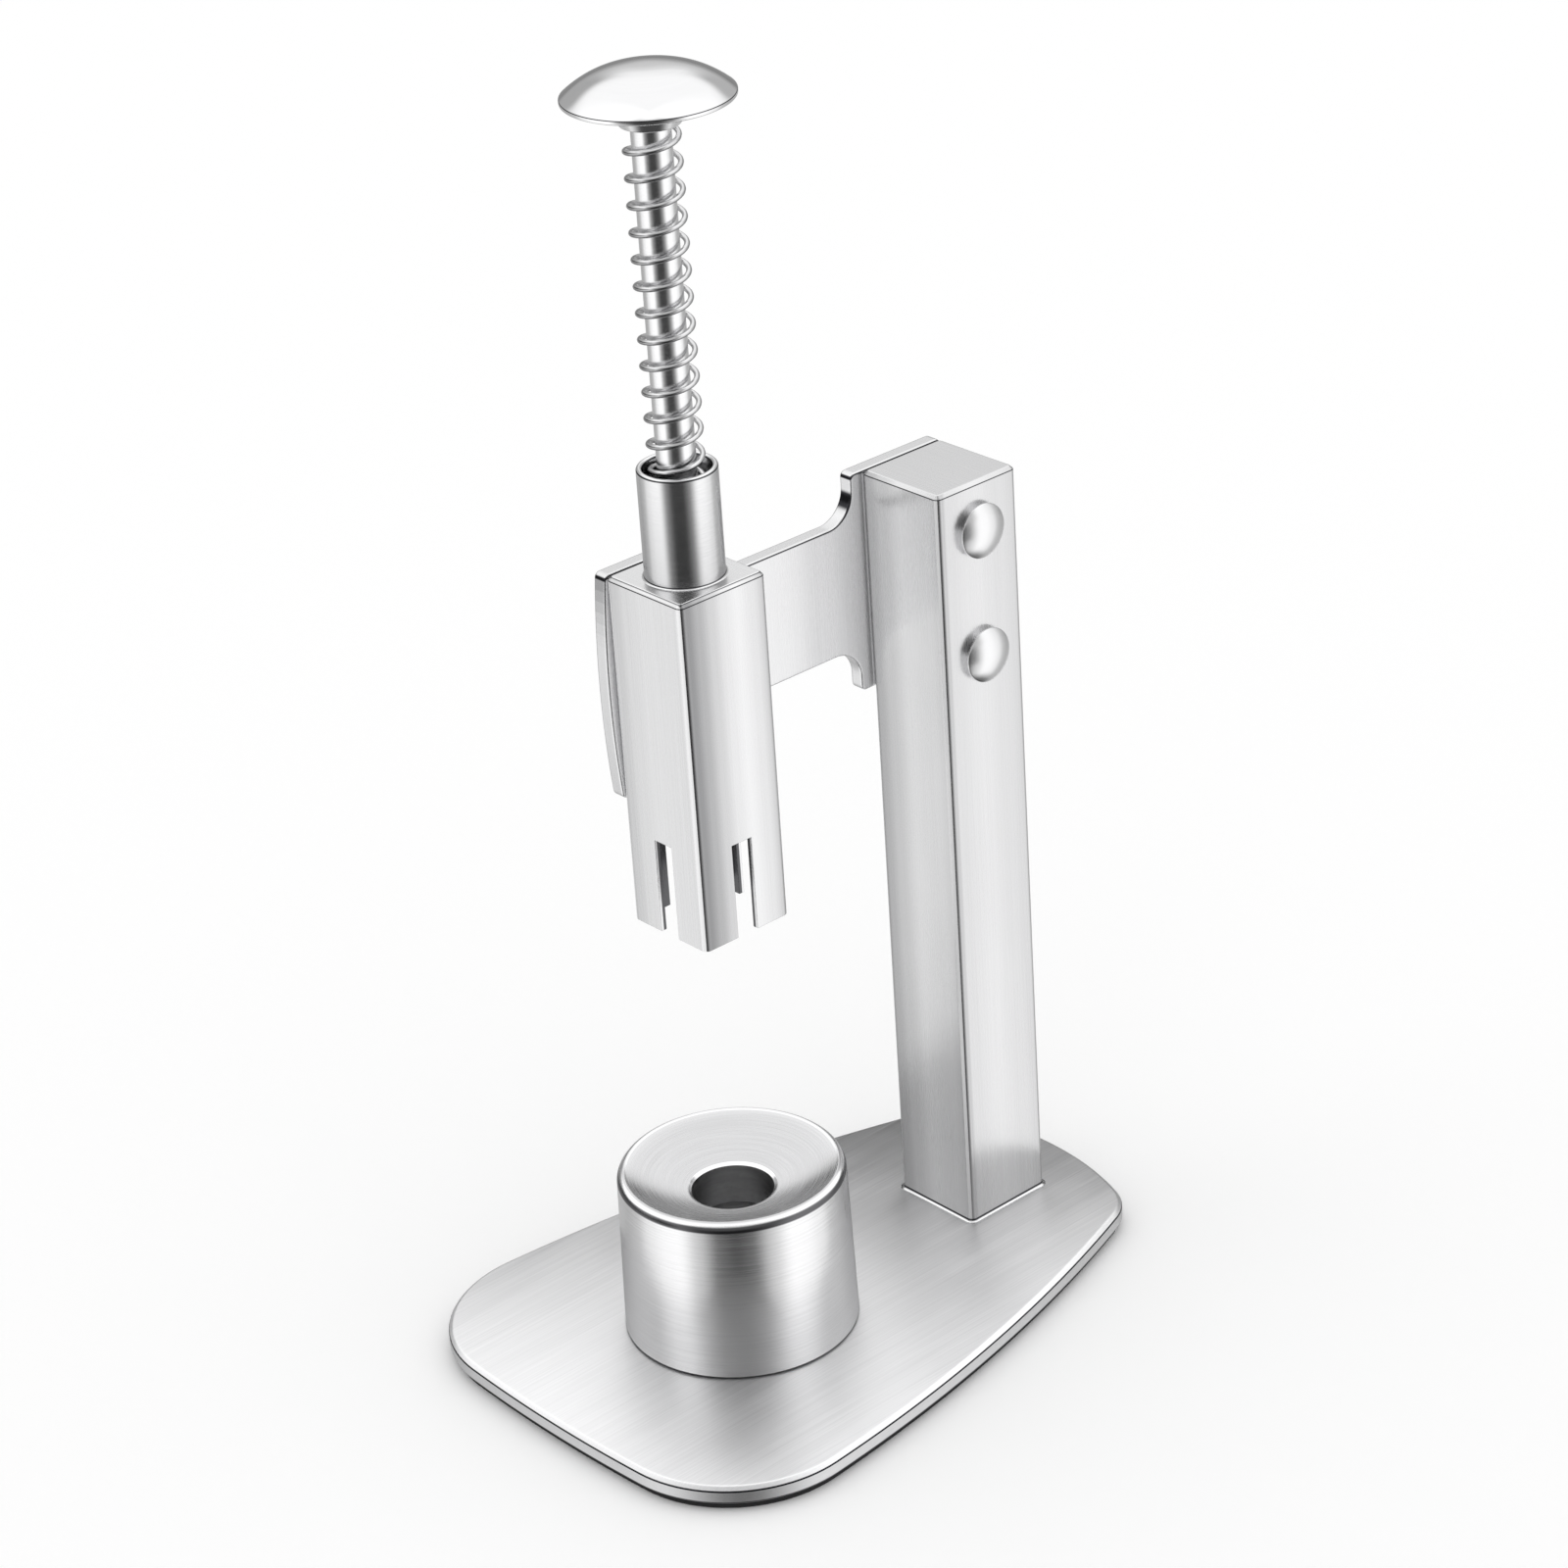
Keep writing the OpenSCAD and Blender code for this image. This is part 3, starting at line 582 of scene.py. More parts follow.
@dataclass(frozen=True)
class Metal:
    """A stainless steel finish.

    Attributes:
        name: Name of the material.
        slot: Slot of the record; not used.
        grey: How much light the metal sends back, straight on.
        roughness: Blur of its reflections.
        grain: Direction in which it was worked.
        tint: Difference that its blue part has to its red part.
        pitch: Width of the scratches.
        run: Length of the scratches.
        depth: Height of the scratches for the bump.
        tone: Share by which the scratches darken and lighten it.
        streak: Amount by which the scratches change the roughness.
        stretch: How far the scratches draw out a reflection across them, from 0 to 1.
        centre: Axis (X, Y) of a square tube whose faces get painted shade from edge to edge, or none.
        shade_x: Stops of that painted shade on the faces on +X and -X, from one edge, -1, to the other, 1.
        shade_y: Stops of that painted shade on the faces on +Y and -Y.
        climb: Stops of a painted tone by the height of the normal, from -1 on faces that look down to 1,
        which paints shade and dark reflection lines.
        level_rough: Roughness that level faces have more than the others.
        corner_glint: Share by which one side of each rounded upright corner is dull and part non-metal,
        which the even light from all round turns into a painted highlight line.
        skin: Distance from a tube's axis past which its tone is full, or 0 where the tube has no painted
            shade inside.
        inside_shade_depth: Depth over which that painted shade on the inner wall and the slot sides fades
            out.
        inside: Tone of that painted shade inside the tube.
    """

    name: str
    slot: Slot
    grey: float
    roughness: float
    grain: Grain = Grain.ALONG_Z
    tint: float = 0.006
    pitch: float = 0.28 * MM
    run: float = 22 * MM
    depth: float = 0.004 * MM
    tone: float = 0.05
    streak: float = 0.05
    stretch: float = 0.0
    centre: tuple[float, float] | None = None
    shade_x: Stops = ()
    shade_y: Stops = ()
    climb: Stops = ()
    level_rough: float = 0.0
    corner_glint: float = 0.0
    skin: float = 0.0
    inside_shade_depth: float = 0.2 * MM
    inside: float = 0.14

    def grain_vector(self, graph: NodeGraph) -> Socket:
        """Coordinates that run slowly along the scratches and fast across them.

        On a turned piece they are radius and height over the pitch, and the direction from the axis over
        the run; on a brushed piece they are X, Y and Z over the pitch or the run.

        Args:
            graph: Graph of the material.

        Returns:
            The coordinates.
        """
        fine, long = 1 / self.pitch, 1 / self.run
        if self.grain is not Grain.TURNED:
            scale = (fine, long, fine) if self.grain is Grain.ALONG_Y else (fine, fine, long)
            if self.grain is Grain.SQUARE:
                scale = self.blend(graph, scale, (long, fine, fine))
            return graph.vector("MULTIPLY", graph.place(), scale)
        x, y, z = graph.parts(graph.place())
        flat = graph.joined(x, y, 0.0)
        radius = graph.vector("LENGTH", flat, output="Value")
        ux, uy, _ = graph.parts(graph.vector("NORMALIZE", flat))
        across = graph.maths("ADD", graph.times(radius, FACE_SHARE * fine), graph.times(z, fine))
        return graph.joined(graph.times(ux, TRUE_RADIUS * long), graph.times(uy, TRUE_RADIUS * long), across)

    @staticmethod
    def blend(graph: NodeGraph, upright: Sequence[float], level: Sequence[float]) -> Socket:
        """Vector that is one value on upright faces and another on level ones."""
        is_level = graph.maths("GREATER_THAN", graph.maths("ABSOLUTE", graph.normal()[2]), LEVEL_FROM)
        return graph.node("Mix", {0: is_level, 4: upright, 5: level}, data_type="VECTOR").outputs[1]

    def face_shade(self, graph: NodeGraph) -> Socket:
        """Painted shade across a square tube's upright faces, 1 on its level faces.

        With x and y from the tube's axis, the place across a face is y / x where x is the larger of the
        two and -x / y where y is, which runs from -1 to 1 counter-clockwise on all four faces. The larger
        of the two is also the depth that puts painted shade on the inner wall and the sides of the slots.

        Args:
            graph: Graph of the material.

        Returns:
            The factor for the colour.
        """
        place = graph.parts(graph.place())
        x, y = (graph.maths("SUBTRACT", value, middle) for value, middle in zip(place, self.centre))
        away = [graph.maths("ABSOLUTE", value) for value in (x, y)]
        # Painted shade across each upright face, by the stops of shade_x and shade_y
        shade = graph.mix(graph.maths("GREATER_THAN", *away),
                          graph.curve(graph.times(graph.maths("DIVIDE", x, y), -1.0), self.shade_y),
                          graph.curve(graph.maths("DIVIDE", y, x), self.shade_x))
        # Painted shade inside the tube: nearer the axis than skin, on the inner wall and the slot sides, the
        # tone drops to the inside tone
        if self.skin > 0:
            bright = graph.step(graph.maths("MAXIMUM", *away), self.skin - self.inside_shade_depth, self.skin,
                                self.inside, 1.0)
            shade = graph.times(shade, bright)
        level = self.blend(graph, (0.0, 0.0, 0.0), (1.0, 1.0, 1.0))
        return graph.mix(graph.vector("LENGTH", level, output="Value"), shade, 1.0)

    def tangent(self, graph: NodeGraph) -> Socket:
        """Direction of the scratches at a point.

        Args:
            graph: Graph of the material.

        Returns:
            The direction: on a turned piece at a right angle to Z and to the place.
        """
        if self.grain is Grain.TURNED:
            return graph.vector("CROSS_PRODUCT", (0.0, 0.0, 1.0), graph.place())
        if self.grain is Grain.SQUARE:
            return self.blend(graph, (0.0, 0.0, 1.0), (1.0, 0.0, 0.0))
        return graph.joined(*((0.0, 1.0, 0.0) if self.grain is Grain.ALONG_Y else (0.0, 0.0, 1.0)))

    def material(self) -> bpy.types.Material:
        """Makes the material.

        Returns:
            A metal whose colour, roughness and bump follow one pattern of scratches and one of haze.
        """
        made = bpy.data.materials.new(self.name)
        graph = NodeGraph(made)
        scratches = graph.noise(self.grain_vector(graph), FINE_DETAIL, SCRATCH_ROUGHNESS)
        haze = graph.noise(graph.vector("MULTIPLY", graph.place(), (HAZE_SCALE,) * 3), HAZE_DETAIL)
        tone = graph.swing(scratches, SCRATCH_REACH, self.grey, self.grey * self.tone)
        # Painted shade across a square tube's faces and on its inner wall
        if self.centre is not None:
            tone = graph.times(tone, self.face_shade(graph))
        across, along, upward = graph.normal()
        # Painted shade and painted dark reflection lines by the height of the normal
        if self.climb:
            tone = graph.times(tone, graph.curve(upward, self.climb))
        blue = graph.maths("ADD", tone, self.tint)
        rough = graph.maths("ADD", graph.swing(haze, FINE_REACH, self.roughness, self.roughness * HAZE_SHARE),
                            graph.swing(scratches, SCRATCH_REACH, 0.0, self.streak))
        rough = graph.maths("ADD", rough, graph.step(upward, *LEVEL_STEP, 0.0, self.level_rough))
        bump = graph.node("Bump", {"Strength": 1.0, "Distance": self.depth, "Height": scratches})
        shader = graph.node("BsdfPrincipled", {
            "Base Color": graph.node("CombineColor", {0: tone, 1: tone, 2: blue}).outputs[0],
            "Metallic": 1.0, "Roughness": rough, "Normal": bump.outputs[0]})
        # Painted highlight: a dull, part non-metal strip down one side of each rounded upright corner, which
        # the even light makes bright
        if self.corner_glint > 0:
            turned = graph.maths("ABSOLUTE", graph.times(across, along))
            lead = graph.maths("SUBTRACT", graph.maths("ABSOLUTE", along), graph.maths("ABSOLUTE", across))
            matt = graph.times(graph.step(turned, *CORNER_STEP), graph.step(lead, *SIDE_STEP), self.corner_glint)
            graph.put(graph.maths("SUBTRACT", 1.0, matt), shader.inputs["Metallic"])
        if self.stretch > 0:
            shader.inputs["Anisotropic"].default_value = self.stretch
            shader.inputs["Anisotropic Rotation"].default_value = QUARTER_TURN
            graph.put(self.tangent(graph), shader.inputs["Tangent"])
        graph.show(shader)
        return made


@dataclass(frozen=True)
class Matt:
    """A plastic or rubber finish.

    Attributes:
        name: Name of the material.
        slot: Slot of the record; not used.
        colour: Its colour.
        roughness: Blur of its reflections.
        cell: Size of its grain.
        depth: Height of its grain for the bump.
        mottle: Share by which its tone varies.
        rough_swing: Amount by which its roughness varies.
    """

    name: str
    slot: Slot
    colour: tuple[float, float, float]
    roughness: float
    cell: float
    depth: float
    mottle: float = 0.08
    rough_swing: float = 0.06

    def material(self) -> bpy.types.Material:
        """Makes the material.

        Returns:
            A dull material with a fine grain, in whose hollows it is a little darker.
        """
        made = bpy.data.materials.new(self.name)
        graph = NodeGraph(made)
        fine = graph.noise(graph.vector("MULTIPLY", graph.place(), (1 / self.cell,) * 3), FINE_DETAIL)
        tone = graph.swing(fine, FINE_REACH, 1.0, self.mottle)
        colour = graph.node("VectorMath", {0: self.colour, "Scale": tone}, operation="SCALE")
        rough = graph.swing(fine, FINE_REACH, self.roughness, self.rough_swing)
        bump = graph.node("Bump", {"Strength": 1.0, "Distance": self.depth, "Height": fine})
        graph.show(graph.node("BsdfPrincipled", {
            "Base Color": colour.outputs[0], "Roughness": rough, "Normal": bump.outputs[0]}))
        return made


def painted_edge_shade(dark: float, wall: float = 1.0, under: float = 1.0, level: float = 1.0) -> Stops:
    """Stops of painted shade by the normal's height, with a painted dark line between a chamfer and its wall.

    Args:
        dark: Tone of that painted dark line.
        wall: Tone of upright faces, painted shade where it is below 1.
        under: Tone of faces that look down, painted shade under the piece.
        level: Tone of level faces, painted shade where it is below 1.

    Returns:
        The stops.
    """
    return ((-0.3, under), (-0.08, wall), (0.03, wall), (0.16, dark), (0.52, dark), (0.66, 1.0), (0.78, 1.0),
            (0.9, level))


class Finishes:
    """All finishes of the pitter."""

    plate = Metal("brushed_plate_steel", Slot.PLATE, 0.93, 0.44, Grain.ALONG_Y, pitch=0.22 * MM,
                  # climb paints a dark reflection line under the plate's chamfer, shade on its wall and a
                  # dark shadow on its underside
                  run=30 * MM, stretch=0.3, tone=0.07, climb=painted_edge_shade(0.02, 0.82, 0.15))
    arm = Metal("brushed_arm_steel", Slot.TUBE, 0.88, 0.26, Grain.ALONG_Z, run=40 * MM, stretch=0.45,
                # climb paints a dark reflection line under the arm's chamfers
                climb=painted_edge_shade(0.06))
    # The post and the head are cut from one tube; their greys of 0.83 and 0.95 differ as painted shade. Post:
    # shade_x and shade_y paint shade across its faces, climb paints a dark reflection line under its
    # chamfers, and its corner setting paints a highlight line down one side of each rounded corner
    post = Metal("brushed_post_steel", Slot.TUBE, 0.83, 0.26, Grain.SQUARE, run=40 * MM, stretch=0.45,
                 centre=(0.0, 61.5 * MM), climb=painted_edge_shade(0.1), corner_glint=0.9,
                 shade_x=((-1.0, 0.7), (-0.88, 0.72), (-0.8, 0.92), (-0.1, 1.0), (0.5, 0.93), (1.0, 0.84)),
                 shade_y=((-1.0, 0.50), (-0.8, 0.64), (-0.5, 0.80), (0.0, 1.0), (0.6, 0.95), (1.0, 0.84)))
    # Head: the same painted shade, dark lines and corner highlights as the post, and skin paints shade on its
    # inner wall and the sides of its slots
    head = Metal("brushed_head_steel", Slot.TUBE, 0.95, 0.26, Grain.SQUARE, run=40 * MM, stretch=0.45,
                 centre=(0.0, 0.0), climb=painted_edge_shade(0.1), corner_glint=0.9, skin=9.6 * MM,
                 shade_x=((-1.0, 0.40), (-0.85, 0.34), (-0.6, 0.50), (-0.3, 0.70), (0.0, 0.86), (0.3, 0.94),
                          (0.65, 0.84), (1.0, 0.60)),
                 shade_y=((-1.0, 0.74), (-0.8, 0.80), (-0.5, 0.93), (0.0, 1.0), (0.6, 0.98), (1.0, 0.92)))
    turned = Metal("turned_seat_steel", Slot.TURNED, 0.91, 0.22, Grain.TURNED, pitch=0.35 * MM,
                   run=26 * MM, stretch=0.65, tone=0.08, streak=0.05, depth=0.006 * MM,
                   # climb paints a dark reflection band round the seat's shoulder, and shade on its underside
                   # and its level faces
                   climb=painted_edge_shade(0.16, 1.0, 0.12, 0.62), level_rough=0.05)
    polished = Metal("polished_steel", Slot.POLISHED, 0.93, 0.10, Grain.TURNED, pitch=0.3 * MM,
                     # climb paints dark reflection lines on the rounded edges of the bright pieces
                     depth=0.001 * MM, tone=0.015, streak=0.015, climb=painted_edge_shade(0.05))
    drawn = Metal("drawn_bright_steel", Slot.POLISHED, 0.93, 0.19, Grain.TURNED, pitch=0.3 * MM, run=9 * MM,
                  # climb paints dark reflection lines on the rounded edges of the rod and the guide tube
                  depth=0.002 * MM, tone=0.04, streak=0.03, stretch=0.2, climb=painted_edge_shade(0.14))
    rivet = Metal("satin_nut_steel", Slot.POLISHED, 0.90, 0.22, Grain.ALONG_Z, pitch=0.3 * MM, run=0.6 * MM,
                  depth=0.001 * MM, tone=0.02, streak=0.03)
    wire = Metal("drawn_spring_wire", Slot.WIRE, 0.80, 0.12, Grain.ALONG_Z, pitch=0.2 * MM, run=3 * MM,
                 depth=0.001 * MM, tone=0.03, streak=0.02,
                 # climb paints shade on the underside of the wire, darker the more it faces down
                 climb=((-0.7, 0.35), (-0.15, 0.5), (0.25, 0.9), (0.5, 1.0)))
    plain = Metal("plain_turned_steel", Slot.PLAIN, 0.55, 0.32, Grain.TURNED, pitch=0.25 * MM)
    bush = Matt("natural_acetal", Slot.BUSH, (0.82, 0.80, 0.74), 0.45, 0.5 * MM, 0.002 * MM, 0.02)
    sole = Matt("matt_sole_rubber", Slot.SOLE, (0.012, 0.012, 0.013), 0.85, 0.35 * MM, 0.02 * MM)


# Pieces


@dataclass
class Workshop:
    """Turns surfaces into pieces of the model.

    Attributes:
        pieces: The pieces made so far.
        materials: The materials made so far, by the names of their finishes.
    """

    pieces: list[bpy.types.Object] = field(default_factory=list)
    materials: dict[str, bpy.types.Material] = field(default_factory=dict)

    def material(self, finish: Metal | Matt) -> bpy.types.Material:
        """Material of a finish, which is made on first use.

        Args:
            finish: The finish.

        Returns:
            The material.
        """
        if finish.name not in self.materials:
            self.materials[finish.name] = finish.material()
        return self.materials[finish.name]

    def piece(self, name: str, node: str, finish: Metal | Matt, *skins: Skin,
              body: Body = Body.STAND) -> bpy.types.Object:
        """Makes one piece out of its surfaces.

        Flat end faces stay flat and all other faces are shaded smooth.

        Args:
            name: Name of the piece.
            node: CAD node that it stands for.
            finish: Its finish.
            skins: Its surfaces.
            body: Body that it rides on.

        Returns:
            The piece.
        """
        points, faces, smooth, first = [], [], [], 0
        for skin in skins:
            faces += (skin.quads + first).tolist() + [[i + first for i in cap] for cap in skin.caps]
            smooth += [True] * len(skin.quads) + [len(cap) == 3 for cap in skin.caps]
            points.append(skin.points)
            first += len(skin.points)
        mesh = bpy.data.meshes.new(name)
        mesh.from_pydata(np.concatenate(points).tolist(), [], faces)
        mesh.polygons.foreach_set("use_smooth", smooth)
        mesh.update()
        mesh.set_sharp_from_angle(angle=math.radians(SHARP_ANGLE))
        made = bpy.data.objects.new(name, mesh)
        bpy.context.scene.collection.objects.link(made)
        mesh.materials.append(self.material(finish))
        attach(made, body.value)
        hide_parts(node)
        self.pieces.append(made)
        return made

    def soften(self, piece: bpy.types.Object, width: float, below: float) -> None:
        """Rounds the sharp edges of a piece with a small bevel.

        Args:
            piece: The piece.
            width: Width of the bevel.
            below: Height below which edges are rounded.
        """
        mesh = piece.data
        count = len(mesh.edges)
        sharp, ends, spots = np.zeros(count, bool), np.zeros(2 * count, int), np.zeros(3 * len(mesh.vertices))
        mesh.edges.foreach_get("use_edge_sharp", sharp)
        mesh.edges.foreach_get("vertices", ends)
        mesh.vertices.foreach_get("co", spots)
        low = spots[2::3][ends].reshape(-1, 2).max(axis=1) < below
        weight = mesh.attributes.new("bevel_weight_edge", "FLOAT", "EDGE")
        weight.data.foreach_set("value", (sharp & low).astype(float))
        mesh.edges.foreach_set("use_edge_sharp", sharp & ~low)
        bevel = piece.modifiers.new("edge", "BEVEL")
        for name, value in (("width", width), ("segments", 2), ("limit_method", "WEIGHT"),
                            ("use_clamp_overlap", False), ("harden_normals", True)):
            setattr(bevel, name, value)

    def dress(self, nodes: dict[str, bpy.types.Object], finish: Metal | Matt, *names: str) -> None:
        """Gives CAD nodes that stay a finish.

        Args:
            nodes: CAD nodes by name.
            finish: The finish.
            names: The nodes that get it.
        """
        for name in names:
            nodes[name].data.materials.clear()
            nodes[name].data.materials.append(self.material(finish))
            log.info("node %s keeps its shape and gets %s", name, finish.name)


@dataclass
class Levels:
    """Heights and depths that the frame gives.

    Attributes:
        floor: Underside of the base plate.
        deck: Top of the base plate.
        top: Top of the post and of the head.
        reach: Distance from the plunger axis to the middle of the post.
        half_tube: Half the width of the square tube.
        travel: How far the plunger goes down; not used.
    """

    floor: float
    deck: float
    top: float
    reach: float
    half_tube: float
    travel: float

    @classmethod
    def from_frame(cls, frame: dict) -> Levels:
        """Reads the levels from the boxes of the CAD nodes and from the press joint.

        Args:
            frame: The loaded frame.

        Returns:
            The levels.
        """
        base_low, base_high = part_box("base_plate")
        post_low, post_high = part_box("post_end_plate")
        travel = max(abs(v) for j in frame["joints"] if j["name"] == "press" for v in j["range_m"])
        return cls(base_low.z, base_high.z, post_high.z, (post_low.y + post_high.y) / 2,
                   (post_high.x - post_low.x) / 2, travel)


@dataclass
class Assembly:
    """What every sub-assembly has.

    Attributes:
        shop: Where its pieces are made.
        levels: Heights and depths that the frame gives.
    """

    shop: Workshop
    levels: Levels


@dataclass
class Base(Assembly):
    """Bowed base plate and its sole."""

    front_radius: float = 25.4 * MM
    rear_radius: float = 11.6 * MM
    rear_width: float = 58.6 * MM
    side_bow: float = 342 * MM
    front_bow: float = 360 * MM
    rear_bow: float = 61 * MM
    chamfer: float = 0.8 * MM
    # Where the flat face starts, in chamfers from the edge
    flat_start: float = 3.0
    edge_radius: float = 0.6 * MM
    sole_inset: float = 1 * MM
    sole_chamfer: float = 0.3 * MM
    sole_radius: float = 0.1 * MM

    def outline(self, inset: float) -> np.ndarray:
        """Outline of the plate, drawn in by inset.

        Half of it is five arcs that touch each other: the front's bow, the front corner, the side's bow,
        the rear corner and the rear's bow. An arc inside another has its middle on the line from the
        other's middle, at the difference of the two radii. The other half is its mirror image in X = 0.

        Args:
            inset: Distance by which the outline is drawn in.

        Returns:
            The closed outline, counter-clockwise.
        """
        low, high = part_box("base_plate")
        front_middle = np.array([0, low.y + self.front_bow])
        rear_middle = np.array([0, high.y - self.rear_bow])
        front = self.corner_middle(front_middle, self.front_bow, high.x, self.front_radius, -1)
        rear = self.corner_middle(rear_middle, self.rear_bow, self.rear_width / 2, self.rear_radius, 1)
        side = self.side_middle(front, rear)
        turns = (-90, heading(front_middle, front), heading(side, front), heading(side, rear),
                 heading(rear_middle, rear), 90)
        rows = ((front_middle, self.front_bow, 8), (front, self.front_radius, 24), (side, self.side_bow, 24),
                (rear, self.rear_radius, 20), (rear_middle, self.rear_bow, 10))
        half = np.concatenate([
            arc(middle, radius - inset, turns[i], turns[i + 1], steps)[min(i, 1):]
            for i, (middle, radius, steps) in enumerate(rows)])
        return np.concatenate([half, half[-2:0:-1] * [-1, 1]])

    @staticmethod
    def corner_middle(middle: np.ndarray, bow: float, half_width: float, radius: float,
                      sign: int) -> np.ndarray:
        """Middle of a corner that touches a bow inside and reaches half_width."""
        x = half_width - radius
        return np.array([x, middle[1] + sign * math.sqrt((bow - radius) ** 2 - x ** 2)])

    def side_middle(self, front: np.ndarray, rear: np.ndarray) -> np.ndarray:
        """Middle of the side's bow, on the inner side of both corners.

        It is the third corner of a triangle whose sides are the bow's radius less that of each corner.

        Args:
            front: Middle of the front corner.
            rear: Middle of the rear corner.

        Returns:
            The middle.
        """
        to_front, to_rear = self.side_bow - self.front_radius, self.side_bow - self.rear_radius
        line = rear - front
        length = float(np.linalg.norm(line))
        line /= length
        along = (to_front ** 2 - to_rear ** 2 + length ** 2) / (2 * length)
        off = math.sqrt(to_front ** 2 - along ** 2)
        return front + line * along + np.array([-line[1], line[0]]) * off

    def edged(self, foot: float, top: float, inset: float, cut: float, radius: float) -> Skin:
        """Plate whose two edges are chamfered and softened.

        Args:
            foot: Height of the underside.
            top: Height of the upper face.
            inset: Distance that the whole plate is drawn in.
            cut: Size of the chamfers.
            radius: Radius between a chamfer and the faces beside it.

        Returns:
            The surface.
        """
        flat = inset + self.flat_start * cut
        edge = eased([(flat, foot, 0), (inset + cut, foot, radius), (inset, foot + cut, radius),
                      (inset, top - cut, radius), (inset + cut, top, radius), (flat, top, 0)])
        return loft(np.array([at_height(self.outline(e), z) for e, z in edge]), Ends.FLAT)

    def build(self) -> None:
        """Makes the plate and the sole."""
        plate = self.edged(self.levels.floor, self.levels.deck, 0, self.chamfer, self.edge_radius)
        self.shop.piece("base_plate_body", "base_plate", Finishes.plate, plate)
        sole = self.edged(0, self.levels.floor, self.sole_inset, self.sole_chamfer, self.sole_radius)
        self.shop.piece("sole_sheet", "sole_pad", Finishes.sole, sole)


@dataclass
class SquareTube(Assembly):
    """Sizes that the post and the head share, because both are cut from one tube."""

    corner: float = 1.2 * MM
    end_chamfer: float = 0.7 * MM
    end_radius: float = 0.35 * MM
    bore_flat: float = 0.6 * MM
    bore_lip: float = 0.22 * MM
    bore_foot: float = 0.1 * MM

    def outline(self, half: float, corner: float, stops: Sequence[float] = (),
                hold: float = HOLD) -> np.ndarray:
        """Rounded square about the origin.

        Args:
            half: Half its width.
            corner: Radius of its corners.
            stops: Distances from the middle of each side at which the outline has a point.
            hold: Distance of the added points from the ends of a side.

        Returns:
            The closed outline, counter-clockwise from the middle of the side on +X.
        """
        side = [(half, y, 0.0) for y in stops] + [(half, half, corner)]
        return eased(four_sided(side), closed=True, steps=10, hold=hold)

    def end_plate(self, foot: float, bore: float = 0.0) -> Skin:
        """Plate that closes the tube, with a chamfer round its top.

        Args:
            foot: Height of its underside.
            bore: Radius of a hole through it, or 0.

        Returns:
            The surface.
        """
        cut, top = self.end_chamfer, self.levels.top
        edge = eased([(0, foot, 0), (0, top - cut, self.end_radius), (cut, top, self.end_radius),
                      (cut + self.end_radius, top, 0)])
        outline = self.outline(self.levels.half_tube, self.corner)
        rings = drawn_in(outline, edge)
        if not bore:
            return loft(rings, Ends.FLAT)
        flat = bore + self.bore_flat
        lip = rounded([(flat, top, 0), (bore, top, self.bore_lip), (bore, foot, self.bore_foot),
                       (flat, foot, 0)], closed=False, steps=4)
        angle = np.arctan2(outline[:, 1], outline[:, 0])
        return loft(np.concatenate([rings, spun(angle, lip[:, :1], lip[:, 1:])]), Ends.LOOP)


@dataclass
class Post(SquareTube):
    """Square post that stands on the base."""

    wall: float = 1.5 * MM
    weld: float = 0.7 * MM

    def build(self) -> None:
        """Makes the tube, with the weld round its foot, and the plate that closes it."""
        foot, top = (corner.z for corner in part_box("post_tube"))
        edge = np.concatenate([weld_bead(self.weld, 0, -1, foot, 6), [
            (0, foot + self.weld + HOLD), (0, top), (self.wall, top), (self.wall, foot)]])
        tube = loft(drawn_in(self.outline(self.levels.half_tube, self.corner), edge), Ends.LOOP)
        for name, node, skin in (("post_tube_body", "post_tube", tube),
                                 ("post_top_plate", "post_end_plate", self.end_plate(top))):
            self.shop.piece(name, node, Finishes.post, skin.moved(self.levels.reach))


